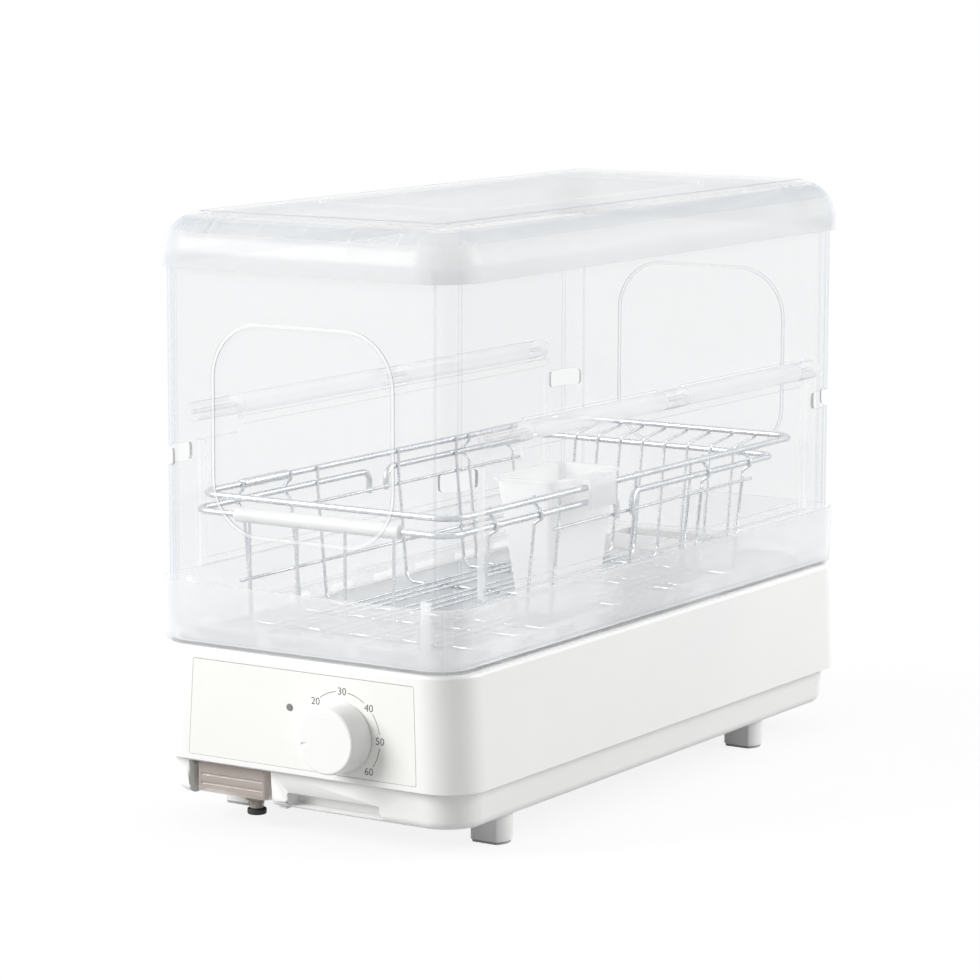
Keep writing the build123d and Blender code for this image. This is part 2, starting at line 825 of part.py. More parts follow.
# Drip tray: flared outer wall with a rounded foot, inner ledge with windows, floor, ribs and drain spout
ledge_half_x = tray_low_half_x - tray_wall - ledge_width
ledge_half_y = tray_low_half_y - tray_wall - ledge_width
ledge_corner = tray_corner - tray_wall - ledge_width
window_low = tray_floor + window_margin
window_high = ledge_z - ledge_thickness - window_margin
window_end = ledge_half_x - window_end_inset
window_spans = (
    (-window_end, -window_middle_half - window_bar),
    (-window_middle_half, window_middle_half),
    (window_middle_half + window_bar, window_end),
)
side_window_pitch = 2 * (hood_half_y - side_window_end) / side_window_count
side_window_width = side_window_pitch * side_window_share
with BuildPart() as drip_tray:
    with BuildSketch(level(tray_low)):
        RectangleRounded(2 * tray_low_half_x, 2 * tray_low_half_y, tray_corner)
    with BuildSketch(level(tray_high)):
        RectangleRounded(2 * tray_high_half_x, 2 * tray_high_half_y, tray_corner)
    loft()
    fillet(drip_tray.faces().sort_by(Axis.Z)[0].edges(), tray_edge_radius)
    with BuildSketch(level(ledge_z)):
        RectangleRounded(
            2 * (tray_low_half_x - tray_wall), 2 * (tray_low_half_y - tray_wall), tray_corner - tray_wall
        )
    with BuildSketch(level(tray_high)):
        RectangleRounded(
            2 * (tray_high_half_x - tray_wall), 2 * (tray_high_half_y - tray_wall), tray_corner - tray_wall
        )
    loft(mode=Mode.SUBTRACT)
    with BuildSketch(level(tray_floor)):
        RectangleRounded(2 * ledge_half_x, 2 * ledge_half_y, ledge_corner)
    extrude(amount=ledge_height, mode=Mode.SUBTRACT)
    with BuildSketch(level(tray_floor)):
        RectangleRounded(
            2 * (tray_low_half_x - 2 * tray_wall),
            2 * (tray_low_half_y - 2 * tray_wall),
            tray_corner - 2 * tray_wall,
        )
        RectangleRounded(
            2 * (ledge_half_x + ledge_thickness),
            2 * (ledge_half_y + ledge_thickness),
            ledge_corner + ledge_thickness,
            mode=Mode.SUBTRACT,
        )
    extrude(amount=ledge_height - tray_wall - ledge_thickness, mode=Mode.SUBTRACT)
    for end in (-1, 1):
        with BuildSketch(upright(end * ledge_half_y)):
            for left, right in window_spans:
                with Locations(((left + right) / 2, (window_low + window_high) / 2)):
                    RectangleRounded(right - left, window_high - window_low, ledge_thickness)
        extrude(amount=ledge_thickness + overrun, both=True, mode=Mode.SUBTRACT)
    for side in (-1, 1):
        with BuildSketch(sideways(side * ledge_half_x)):
            with Locations((-side_window_shift, (window_low + window_high) / 2)):
                with GridLocations(side_window_pitch, 0, side_window_count, 1):
                    RectangleRounded(side_window_width, window_high - window_low, ledge_thickness)
        extrude(amount=ledge_thickness + overrun, both=True, mode=Mode.SUBTRACT)
    with BuildSketch(level(ledge_z - ledge_thickness)):
        for side in (-1, 1):
            for end in (-1, 1):
                rib_y = end * (hood_half_y - clear_wall - seat_gap - tray_rib_depth / 2)
                with Locations((side * tray_rib_x, rib_y)):
                    Rectangle(tray_rib_width, tray_rib_depth)
    extrude(amount=tray_high + tray_rib_proud - ledge_z + ledge_thickness)
    with BuildSketch(level(tray_low - overrun)):
        with Locations((0, outlet_y)):
            RectangleRounded(
                outlet_width + 2 * collar_gap, outlet_length + 2 * collar_gap, outlet_corner + collar_gap
            )
    extrude(amount=tray_wall + 2 * overrun, mode=Mode.SUBTRACT)
    with BuildSketch(level(tray_floor)):
        with Locations((bay_x, spout_y)):
            Circle(spout_radius)
    extrude(amount=-spout_length)
    with BuildSketch(level(tray_floor + overrun)):
        with Locations((bay_x, spout_y)):
            Circle(spout_radius - spout_wall)
    extrude(amount=-spout_length - 2 * overrun, mode=Mode.SUBTRACT)
save(drip_tray, "drip_tray")

# Hood shell: one clear moulding, open above and below, with a door opening in each side
opening_z = (opening_low + opening_high) / 2
catch_z = (catch_low + catch_high) / 2
hood_mid_x = hood_half_x - clear_wall / 2
knuckle_front_end = knuckle_front_length - opening_half_y
knuckle_rear_end = opening_half_y - knuckle_rear_margin
knuckle_spans = (
    (-opening_half_y, knuckle_front_end),
    (0, knuckle_mid_length),
    (knuckle_rear_end - knuckle_rear_length, knuckle_rear_end),
)
with BuildPart() as catch_slots:
    with BuildSketch(upright(0)):
        for side in (-1, 1):
            with Locations((side * hood_half_x, catch_z)):
                RectangleRounded(2 * (hood_half_x - catch_front_x), catch_high - catch_low, catch_corner)
    extrude(amount=hood_half_y + overrun, both=True)
    with BuildSketch(sideways(0)):
        for end in (-1, 1):
            with Locations((end * hood_half_y, catch_z)):
                RectangleRounded(2 * (hood_half_y - catch_side_y), catch_high - catch_low, catch_corner)
    extrude(amount=hood_half_x + overrun, both=True, mode=Mode.INTERSECT)

with BuildPart() as hood_shell:
    with BuildSketch(level(hood_low)):
        RectangleRounded(2 * hood_half_x, 2 * hood_half_y, hood_corner)
        RectangleRounded(
            2 * (hood_half_x - clear_wall),
            2 * (hood_half_y - clear_wall),
            hood_corner - clear_wall,
            mode=Mode.SUBTRACT,
        )
    extrude(amount=hood_top - hood_low)
    for end in (-1, 1):
        with BuildSketch(upright(end * (hood_half_y - clear_wall / 2))):
            with Locations((0, (arch_low + arch_high) / 2)):
                RectangleRounded(2 * arch_half_x, arch_high - arch_low, arch_corner)
                RectangleRounded(
                    2 * (arch_half_x - arch_bead_width),
                    arch_high - arch_low - 2 * arch_bead_width,
                    arch_corner - arch_bead_width,
                    mode=Mode.SUBTRACT,
                )
        extrude(amount=-end * (clear_wall / 2 + arch_bead_depth))
    with BuildSketch(sideways(0)):
        with Locations((0, opening_z)):
            Rectangle(2 * opening_half_y, opening_high - opening_low)
    extrude(amount=hood_half_x + overrun, both=True, mode=Mode.SUBTRACT)
    for side in (-1, 1):
        for start, end in knuckle_spans:
            with BuildSketch(upright(start)):
                with Locations((side * hinge_x, hinge_z)):
                    Circle(hinge_radius)
                with BuildLine():
                    Polyline(
                        (side * hood_half_x, hinge_z),
                        (side * (hood_half_x - clear_wall), hinge_z),
                        (side * (hood_half_x - clear_wall), opening_high + overrun),
                        (side * hood_half_x, opening_high + overrun),
                        close=True,
                    )
                make_face()
                with Locations((side * hinge_x, hinge_z)):
                    Circle(pin_radius + running_gap, mode=Mode.SUBTRACT)
            extrude(amount=-(end - start))
    for side in (-1, 1):
        with BuildSketch(sideways(side * hood_mid_x)):
            with Locations(((knuckle_front_end - opening_half_y) / 2, (bracket_low + opening_high) / 2)):
                Rectangle(knuckle_front_end + opening_half_y, opening_high - bracket_low)
            with Locations(((knuckle_front_end - opening_half_y) / 2, hinge_z)):
                Rectangle(
                    knuckle_front_end + opening_half_y,
                    2 * (pin_radius + running_gap),
                    mode=Mode.SUBTRACT,
                )
        extrude(amount=clear_wall / 2, both=True)
    add(catch_slots.part, mode=Mode.SUBTRACT)
save(hood_shell, "hood_shell")

# Side doors: clear flaps under a rounded rail that turns on the hinge pin
door_low = opening_low + door_gap
door_half_y = opening_half_y - door_gap
door_top = hinge_z - hinge_radius - hinge_swing_gap
bracket_end = knuckle_front_end + hinge_end_gap
rail_spans = (
    (bracket_end, -hinge_end_gap),
    (knuckle_mid_length + hinge_end_gap, knuckle_spans[-1][0] - hinge_end_gap),
    (knuckle_rear_end + hinge_end_gap, door_half_y),
)
for side, name in ((-1, "door_left"), (1, "door_right")):
    outer_x = side * hood_half_x
    inner_x = side * (hood_half_x - clear_wall)
    with BuildPart() as door:
        with BuildSketch(sideways(inner_x)):
            with Locations((0, (door_low + door_top) / 2)):
                Rectangle(2 * door_half_y, door_top - door_low)
        extrude(amount=side * clear_wall)
        with BuildSketch(sideways(inner_x)):
            with Locations((0, (door_low + door_top) / 2)):
                Rectangle(2 * door_half_y, door_top - door_low)
                Rectangle(
                    2 * (door_half_y - door_rib_width),
                    door_top - door_low - 2 * door_rib_width,
                    mode=Mode.SUBTRACT,
                )
        extrude(amount=-side * door_rib)
        with BuildSketch(sideways(0)):
            with Locations(((bracket_end - opening_half_y) / 2, (bracket_low - door_gap + hinge_z) / 2)):
                Rectangle(bracket_end + opening_half_y, hinge_z - bracket_low + door_gap)
        extrude(amount=side * (hood_half_x + overrun), mode=Mode.SUBTRACT)
        for start, end in rail_spans:
            with BuildSketch(upright(start)):
                with Locations((side * hinge_x, hinge_z)):
                    Circle(hinge_radius)
                with BuildLine():
                    Polyline(
                        (outer_x, hinge_z),
                        (inner_x, hinge_z),
                        (inner_x, door_top - overrun),
                        (outer_x, door_top - overrun),
                        close=True,
                    )
                make_face()
                with Locations((side * hinge_x, hinge_z)):
                    Circle(pin_radius + running_gap, mode=Mode.SUBTRACT)
            extrude(amount=-(end - start))
    save(door, name)

# Hinge pins: one nylon rod along each side
with BuildPart() as hinge_pins:
    with BuildSketch(upright(-opening_half_y)):
        for side in (-1, 1):
            with Locations((side * hinge_x, hinge_z)):
                Circle(pin_radius)
    extrude(amount=-(opening_half_y + door_half_y))
save(hinge_pins, "hinge_pins")

# Lid: a frosted cap with a full-radius edge, a framed crown, air slots and gussets over the shell's rim
with BuildPart() as lid_core:
    with BuildSketch(level(lid_low - overrun)):
        RectangleRounded(
            2 * (lid_half_x - clear_wall),
            2 * (lid_half_y - clear_wall),
            lid_corner - clear_wall,
        )
    extrude(amount=lid_high - clear_wall - lid_low + overrun)
    fillet(lid_core.faces().sort_by(Axis.Z)[-1].edges(), lid_edge_radius - clear_wall)

with BuildPart() as gussets:
    with BuildSketch(level(hood_top)):
        for end in (-1, 1):
            with Locations((0, end * (hood_half_y - gusset_width / 2))):
                with GridLocations(gusset_pitch, 0, gusset_count, 1):
                    Rectangle(gusset_thickness, gusset_width + hood_corner)
        for side in (-1, 1):
            for y in (side_gusset_inset - lid_half_y, 0, lid_half_y - side_gusset_inset):
                with Locations((side * (hood_half_x - gusset_width / 2), y)):
                    with GridLocations(0, side_gusset_pitch, 1, side_gusset_count):
                        Rectangle(gusset_width + hood_corner, gusset_thickness)
    extrude(amount=lid_high - hood_top)
    add(lid_core.part, mode=Mode.INTERSECT)

with BuildPart() as lid:
    with BuildSketch(level(lid_low)):
        RectangleRounded(2 * lid_half_x, 2 * lid_half_y, lid_corner)
    extrude(amount=lid_high - lid_low)
    fillet(lid.faces().sort_by(Axis.Z)[-1].edges(), lid_edge_radius)
    with BuildSketch(level(lid_high)):
        RectangleRounded(2 * crown_half_x, 2 * crown_half_y, crown_corner)
    extrude(amount=crown_height / 2)
    with BuildSketch(level(lid_high)):
        RectangleRounded(2 * crown_half_x, 2 * crown_half_y, crown_corner)
        RectangleRounded(
            2 * (crown_half_x - crown_bead),
            2 * (crown_half_y - crown_bead),
            crown_corner - crown_bead,
            mode=Mode.SUBTRACT,
        )
    extrude(amount=crown_height)
    add(lid_core.part, mode=Mode.SUBTRACT)
    add(gussets.part)
    with BuildSketch(level(lid_high + overrun)):
        for end in (-1, 1):
            with Locations((0, end * (lid_half_y - vent_row_inset))):
                with GridLocations(vent_pitch, vent_row_pitch, vent_count, 2):
                    SlotOverall(vent_length, vent_width)
    extrude(amount=-clear_wall - 2 * overrun, mode=Mode.SUBTRACT)
save(lid, "lid")

# Wire basket: a closed rim, a front and a rear rail with ends bent down, and thin wires for walls and floor
cross_z = tray_floor + seat_gap + wire_radius
floor_z = cross_z + 2 * wire_radius - weld
weld_reach = rail_radius + wire_radius - weld
wall_top_x = basket_half_x - weld_reach
wall_low_x = wall_top_x - wall_lean
bend_z = cross_z + wire_bend
rim_mid = (rim_front + rim_back) / 2
rail_end_z = rail_z - rail_end_drop
side_wire_z = rail_z - side_wire_below_rail
low_wire_z = tray_floor + low_wire_above_floor
side_wire_end = run_y(side_wire_end_share)
with BuildSketch(level(rim_z)) as rim_outline:
    with Locations((0, rim_mid)):
        RectangleRounded(2 * basket_half_x, rim_back - rim_front, rim_corner)
rim_path = rim_outline.sketch.face().outer_wire()
with BuildPart() as basket_rim:
    with BuildSketch(Plane(origin=rim_path @ 0, z_dir=rim_path % 0)):
        Circle(rail_radius)
    sweep(path=rim_path)
save(basket_rim, "basket_rim")

# Rails under the rim: a front and a rear one, with ends bent down onto the side wires
def wall_x(height):
    """The distance from the middle to a side wall's upright wires at a height."""
    return wall_low_x + wall_lean * (height - bend_z) / (rail_z - rail_radius - bend_z)


mid_wire_x = wall_x(side_wire_z) + 2 * wire_radius - weld
rail_end_x = mid_wire_x + weld_reach
rail_bends = [rail_end_bend, rail_corner, rail_corner, rail_end_bend]
for name, corner_y, end_y in (
    ("basket_front_rail", rail_front, run_y(front_rail_end_share)),
    ("basket_rear_rail", rail_back, run_y(rear_rail_end_share)),
):
    rail_points = [
        (-rail_end_x, end_y, rail_end_z),
        (-basket_half_x, end_y, rail_z),
        (-basket_half_x, corner_y, rail_z),
        (basket_half_x, corner_y, rail_z),
        (basket_half_x, end_y, rail_z),
        (rail_end_x, end_y, rail_end_z),
    ]
    with BuildPart() as basket_rail:
        add(wire_solid(rail_points, rail_radius, rail_bends))
    save(basket_rail, name)

# Side walls: upright wires that lean in below the rails, with two wires along them; four of the uprights
# pass round the outside of the rail before they reach the rim
hook_x = basket_half_x + weld_reach
for side, name in ((-1, "basket_left_wires"), (1, "basket_right_wires")):
    with BuildPart() as side_wires:
        for share in plain_wire_shares:
            y = run_y(share)
            upright_points = [
                (side * wall_low_x, y, bend_z),
                (side * wall_top_x, y, rail_z - rail_radius),
                (side * wall_top_x, y, rim_z + rail_radius),
            ]
            add(wire_solid(upright_points, wire_radius, wire_bend))
        for share in hooked_wire_shares:
            y = run_y(share)
            hooked_points = [
                (side * wall_low_x, y, bend_z),
                (side * wall_top_x, y, rail_z - hook_below_rail),
                (side * hook_x, y, rail_z + hook_above_rail - hook_rise),
                (side * hook_x, y, rail_z + hook_above_rail),
                (side * wall_top_x, y, rim_z - hook_below_rim),
                (side * wall_top_x, y, rim_z + rail_radius),
            ]
            add(wire_solid(hooked_points, wire_radius, hook_bend))
        for z, share in ((low_wire_z, low_wire_start_share), (side_wire_z, side_wire_start_share)):
            x = side * (wall_x(z) + 2 * wire_radius - weld)
            add(wire_solid([(x, run_y(share), z), (x, side_wire_end, z)], wire_radius, 0))
    save(side_wires, name)

# Front wall: four upright wires behind the front rail
front_pitch = front_wire_share * basket_half_x
front_xs = [(i - (front_wire_count - 1) / 2) * front_pitch for i in range(front_wire_count)]
front_wall_y = rail_front + weld_reach
with BuildPart() as basket_front_wires:
    for x in front_xs:
        front_upright = [(x, front_wall_y, floor_z + wire_bend), (x, front_wall_y, rail_z + rail_radius)]
        add(wire_solid(front_upright, wire_radius, 0))
save(basket_front_wires, "basket_front_wires")

# Rear shelf: wires from under the rim, forward over the rear rail and down past it
rear_pitch = rear_wire_share * basket_half_x
rear_xs = [(i - (rear_wire_count - 1) / 2) * rear_pitch for i in range(rear_wire_count)]
rear_wall_y = rail_back - weld_reach
shelf_end_z = rail_z - rail_radius - wire_radius
with BuildPart() as basket_rear_shelf:
    for x in rear_xs:
        shelf_points = [
            (x, rim_back, rim_z - weld_reach),
            (x, rear_wall_y, rail_z + weld_reach),
            (x, rear_wall_y, shelf_end_z),
        ]
        add(wire_solid(shelf_points, wire_radius, rail_radius + wire_radius))
save(basket_rear_shelf, "basket_rear_shelf")

with BuildPart() as basket_rear_wires:
    for x in rear_xs:
        rear_low = (x, rear_wall_y - rear_wall_lean, floor_z + wire_bend)
        rear_upright = [rear_low, (x, rear_wall_y, shelf_end_z)]
        add(wire_solid(rear_upright, wire_radius, 0))
save(basket_rear_wires, "basket_rear_wires")

# Floor: cross wires with upturned ends, under the wires that run on from the front and rear walls
cross_wire_y = sorted(run_y(share) for share in plain_wire_shares + hooked_wire_shares)
with BuildPart() as basket_floor:
    for y in cross_wire_y:
        cross_points = [
            (-wall_low_x, y, bend_z),
            (-wall_low_x, y, cross_z),
            (wall_low_x, y, cross_z),
            (wall_low_x, y, bend_z),
        ]
        add(wire_solid(cross_points, wire_radius, wire_bend - wire_radius))
    for x in front_xs:
        front_points = [
            (x, front_wall_y, floor_z + wire_bend),
            (x, front_wall_y, floor_z),
            (x, cross_wire_y[-1] + wire_bend, floor_z),
        ]
        add(wire_solid(front_points, wire_radius, wire_bend - wire_radius))
    for x in rear_xs:
        rear_points = [
            (x, rear_wall_y - rear_wall_lean, floor_z + wire_bend),
            (x, rear_wall_y - rear_wall_lean, floor_z),
            (x, cross_wire_y[0] - wire_bend, floor_z),
        ]
        add(wire_solid(rear_points, wire_radius, wire_bend - wire_radius))
save(basket_floor, "basket_floor")

# Handle grip: a plastic tube on the front rail
grip_half_length = basket_half_x - grip_inset
with BuildPart() as handle_grip:
    with Locations(Plane(origin=(0, body_y + rail_front, rail_z), z_dir=(1, 0, 0))):
        Cylinder(grip_radius, 2 * grip_half_length)
    fillet(handle_grip.edges(), grip_end_radius)
    with Locations(Plane(origin=(0, body_y + rail_front, rail_z), z_dir=(1, 0, 0))):
        Cylinder(rail_radius + running_gap, 2 * grip_half_length + 2 * overrun, mode=Mode.SUBTRACT)
    with BuildSketch(level(rail_z - grip_radius - overrun)):
        for x in front_xs:
            with Locations((x, front_wall_y + grip_radius / 2)):
                Rectangle(2 * (wire_radius + seat_gap), grip_radius + 2 * (wire_radius + seat_gap))
    extrude(amount=grip_radius + overrun + rail_radius + seat_gap, mode=Mode.SUBTRACT)
save(handle_grip, "handle_grip")

# Rim sleeve: a short tube over the rim's joint
sleeve_start = run_y(hooked_wire_shares[0]) + sleeve_margin
sleeve_end = run_y(hooked_wire_shares[1]) - sleeve_margin
sleeve_mid = body_y + (sleeve_start + sleeve_end) / 2
with BuildPart() as rim_sleeve:
    with Locations(Plane(origin=(-basket_half_x, sleeve_mid, rim_z), z_dir=(0, 1, 0))):
        Cylinder(sleeve_radius, sleeve_end - sleeve_start)
        Cylinder(rail_radius + running_gap, sleeve_end - sleeve_start, mode=Mode.SUBTRACT)
save(rim_sleeve, "rim_sleeve")

# Cutlery holder: a tapered frosted cup that hangs on the right of the rim by a clip
holder_top_right = basket_half_x - holder_top_inset
holder_top_x = holder_top_right - holder_top_width / 2
holder_top_y = run_y(holder_y_share)
holder_low_x = basket_half_x - holder_low_inset - holder_low_width / 2
holder_low_y = holder_top_y - holder_low_shift
holder_low_z = floor_z + wire_radius + holder_above_wires
holder_high_z = rim_z + holder_above_rim
clip_low = rim_z + rail_radius + seat_gap
clip_inner_x = hook_x + wire_radius + slide_gap
with BuildPart() as cutlery_holder:
    with BuildSketch(level(holder_low_z)):
        with Locations((holder_low_x, holder_low_y)):
            RectangleRounded(holder_low_width, holder_low_length, holder_corner)
    with BuildSketch(level(holder_high_z)):
        with Locations((holder_top_x, holder_top_y)):
            RectangleRounded(holder_top_width, holder_top_length, holder_corner)
    loft()
    with BuildSketch(level(holder_high_z - holder_flange_thickness)):
        with Locations((holder_top_x, holder_top_y)):
            RectangleRounded(
                holder_top_width + 2 * holder_flange,
                holder_top_length + 2 * holder_flange,
                holder_corner + holder_flange,
            )
    extrude(amount=holder_flange_thickness)
    with BuildSketch(upright(holder_top_y - clip_shift - clip_length / 2)):
        with BuildLine():
            Polyline(
                (holder_top_right - holder_wall, clip_low),
                (clip_inner_x, clip_low),
                (clip_inner_x, clip_low - clip_drop),
                (clip_inner_x + clip_thickness, clip_low - clip_drop),
                (clip_inner_x + clip_thickness, clip_low + clip_thickness),
                (clip_inner_x, holder_high_z),
                (holder_top_right - holder_wall, holder_high_z),
                close=True,
            )
        make_face()
    extrude(amount=-clip_length)
    with BuildSketch(level(holder_low_z + holder_wall)):
        with Locations((holder_low_x, holder_low_y)):
            RectangleRounded(
                holder_low_width - 2 * holder_wall,
                holder_low_length - 2 * holder_wall,
                holder_corner - holder_wall,
            )
    with BuildSketch(level(holder_high_z + seat_gap)):
        with Locations((holder_top_x, holder_top_y)):
            RectangleRounded(
                holder_top_width - 2 * holder_wall,
                holder_top_length - 2 * holder_wall,
                holder_corner - holder_wall,
            )
    loft(mode=Mode.SUBTRACT)
    with BuildSketch(level(holder_low_z - overrun)):
        with Locations((holder_low_x, holder_low_y)):
            with GridLocations(holder_slot_pitch, 0, holder_slot_count, 1):
                SlotOverall(holder_slot_length, holder_slot_width, rotation=90)
    extrude(amount=holder_wall + 2 * overrun, mode=Mode.SUBTRACT)
save(cutlery_holder, "cutlery_holder")

# Fan duct: a scroll round the wheel that leads back and up to the outlet
duct_low = case_low + case_wall
duct_high = duct_low + wheel_height + 2 * scroll_gap
scroll_radius = wheel_radius + scroll_gap + scroll_wall
duct_front = fan_y
duct_back = outlet_y + outlet_length / 2
with BuildPart() as fan_duct:
    with BuildSketch(level(duct_low)):
        with Locations((0, fan_y)):
            Circle(scroll_radius)
        with Locations((0, (duct_front + duct_back) / 2)):
            Rectangle(duct_width, duct_back - duct_front)
    extrude(amount=duct_high - duct_low)
    with BuildSketch(level(duct_low)):
        with Locations((0, outlet_y)):
            Rectangle(outlet_width, outlet_length)
    extrude(amount=riser_high - duct_low)
    with BuildSketch(level(duct_low + scroll_wall)):
        with Locations((0, fan_y)):
            Circle(scroll_radius - scroll_wall)
        with Locations((0, (duct_front + duct_back) / 2)):
            Rectangle(duct_width - 2 * scroll_wall, duct_back - duct_front - 2 * scroll_wall)
    extrude(amount=duct_high - duct_low - 2 * scroll_wall, mode=Mode.SUBTRACT)
    with BuildSketch(level(duct_low + scroll_wall)):
        with Locations((0, outlet_y)):
            Rectangle(outlet_width - 2 * scroll_wall, outlet_length - 2 * scroll_wall)
    extrude(amount=riser_high - duct_low, mode=Mode.SUBTRACT)
    with BuildSketch(level(duct_low - overrun)):
        with Locations((0, fan_y)):
            Circle(wheel_inner_radius)
    extrude(amount=scroll_wall + 2 * overrun, mode=Mode.SUBTRACT)
    with BuildSketch(level(duct_high - scroll_wall - overrun)):
        with Locations((0, fan_y)):
            Circle(motor_shaft_radius + scroll_gap)
    extrude(amount=scroll_wall + 2 * overrun, mode=Mode.SUBTRACT)
save(fan_duct, "fan_duct")

# Fan motor on the duct's roof, bored for the wheel's shaft
with BuildPart() as fan_motor:
    with BuildSketch(level(duct_high)):
        with Locations((0, fan_y)):
            Circle(motor_radius)
    extrude(amount=motor_height)
    fillet(fan_motor.faces().sort_by(Axis.Z)[-1].edges(), motor_shaft_radius)
    with BuildSketch(level(duct_high)):
        with Locations((0, fan_y)):
            Circle(motor_shaft_radius + running_gap)
    extrude(amount=motor_shaft_length - scroll_gap - scroll_wall, mode=Mode.SUBTRACT)
save(fan_motor, "fan_motor")

# Fan wheel: a hub and plate with curved-in blades round the rim, on its shaft
wheel_low = duct_low + scroll_gap
wheel_high = wheel_low + wheel_height
with BuildPart() as fan_wheel:
    with BuildSketch(level(wheel_high - wheel_plate)):
        with Locations((0, fan_y)):
            Circle(wheel_radius)
    extrude(amount=wheel_plate)
    with BuildSketch(level(wheel_low + wheel_plate)):
        with Locations((0, fan_y)):
            Circle(wheel_hub_radius)
    extrude(amount=wheel_height - wheel_plate)
    with BuildSketch(level(wheel_low)):
        with Locations((0, fan_y)):
            with PolarLocations((wheel_radius + wheel_inner_radius) / 2, blade_count):
                Rectangle(
                    wheel_radius - wheel_inner_radius - blade_thickness,
                    blade_thickness,
                    rotation=blade_angle,
                )
    extrude(amount=wheel_height - wheel_plate)
    with BuildSketch(level(wheel_high)):
        with Locations((0, fan_y)):
            Circle(motor_shaft_radius)
    extrude(amount=duct_high - wheel_high + motor_shaft_length - scroll_gap - scroll_wall - seat_gap)
save(fan_wheel, "fan_wheel")

# Heater: two insulating plates across the riser with coils of resistance wire between them
riser_inner_x = outlet_width / 2 - scroll_wall
riser_inner_y = outlet_length / 2 - scroll_wall
heater_low = duct_high + heater_margin
heater_high = riser_high - heater_margin
with BuildPart() as heater:
    with BuildSketch(level(heater_low)):
        for side in (-1, 1):
            with Locations((side * (riser_inner_x - heater_plate / 2), outlet_y)):
                Rectangle(heater_plate, 2 * riser_inner_y)
    extrude(amount=heater_high - heater_low)
    for i in range(heater_coil_count):
        height = heater_low + (i + 1) * (heater_high - heater_low) / (heater_coil_count + 1)
        with Locations(Plane(origin=(0, body_y + outlet_y, height), z_dir=(1, 0, 0))):
            with Locations((0, -riser_inner_y / 2), (0, riser_inner_y / 2)):
                Cylinder(heater_wire_radius, 2 * riser_inner_x - heater_plate)
save(heater, "heater")

# Thermostat and thermal fuse, clipped to the riser's front
riser_front = outlet_y - outlet_length / 2
with BuildPart() as thermostat:
    with BuildSketch(upright(riser_front)):
        with Locations((-riser_inner_x / 2, (heater_low + heater_high) / 2)):
            Circle(thermostat_radius)
    extrude(amount=thermostat_height)
save(thermostat, "thermostat")

with BuildPart() as thermal_fuse:
    with BuildSketch(upright(riser_front)):
        with Locations((riser_inner_x / 2, (heater_low + heater_high) / 2)):
            SlotOverall(2 * thermostat_radius, thermostat_radius)
    extrude(amount=thermostat_height / 2)
save(thermal_fuse, "thermal_fuse")

# Drain pipe: leads the tray's spout down to the drawer
with BuildPart() as drain_pipe:
    with BuildSketch(level(bay_high)):
        with Locations((bay_x, spout_y)):
            Circle(drain_pipe_radius)
            Circle(drain_pipe_radius - drain_pipe_wall, mode=Mode.SUBTRACT)
    extrude(amount=deck_low - bay_high)
save(drain_pipe, "drain_pipe")

# Cord gland: the bush in the rear wall that the mains cord comes in through
with BuildPart() as cord_gland:
    with BuildSketch(upright(housing_half_y)):
        with Locations((gland_x, gland_z)):
            Circle(gland_flange_radius)
    extrude(amount=-gland_flange)
    with BuildSketch(upright(housing_half_y)):
        with Locations((gland_x, gland_z)):
            Circle(gland_radius)
    extrude(amount=case_wall + gland_reach)
    with BuildSketch(upright(housing_half_y + gland_flange + overrun)):
        with Locations((gland_x, gland_z)):
            Circle(gland_hole_radius)
    extrude(amount=case_wall + gland_reach + gland_flange + 2 * overrun, mode=Mode.SUBTRACT)
save(cord_gland, "cord_gland")
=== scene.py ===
import math

import bpy
from mathutils import Matrix, Vector


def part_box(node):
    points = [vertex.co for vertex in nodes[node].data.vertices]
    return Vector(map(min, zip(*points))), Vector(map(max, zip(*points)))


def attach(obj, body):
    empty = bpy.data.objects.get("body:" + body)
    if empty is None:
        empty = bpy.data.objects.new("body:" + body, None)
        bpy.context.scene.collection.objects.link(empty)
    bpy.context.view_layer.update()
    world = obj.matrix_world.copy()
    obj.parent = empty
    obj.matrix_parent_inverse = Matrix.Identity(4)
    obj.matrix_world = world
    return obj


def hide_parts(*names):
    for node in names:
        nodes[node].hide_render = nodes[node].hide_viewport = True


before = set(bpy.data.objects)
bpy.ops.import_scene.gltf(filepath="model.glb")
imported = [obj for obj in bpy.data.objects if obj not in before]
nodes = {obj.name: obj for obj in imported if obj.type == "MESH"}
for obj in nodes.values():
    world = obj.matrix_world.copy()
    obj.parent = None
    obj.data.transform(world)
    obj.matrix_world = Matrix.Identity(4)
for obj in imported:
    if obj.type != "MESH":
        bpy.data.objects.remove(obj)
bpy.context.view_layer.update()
MM = 0.001

# The camera, solved from the photograph: its place and how far it sees in metres, the directions
# of its own axes, and its lens and sensor in millimetres
CAMERA_PLACE = (1.25434, -1.99328, 0.54435)
CAMERA_SIGHT = 50
CAMERA_RIGHT = (0.84324287, 0.53752403, 0.0030616)
CAMERA_UP = (-0.08473624, 0.12730155, 0.98823787)
CAMERA_BACK = (0.53081186, -0.83358397, 0.15289388)
CAMERA_LENS = 139.405
CAMERA_SENSOR = 36

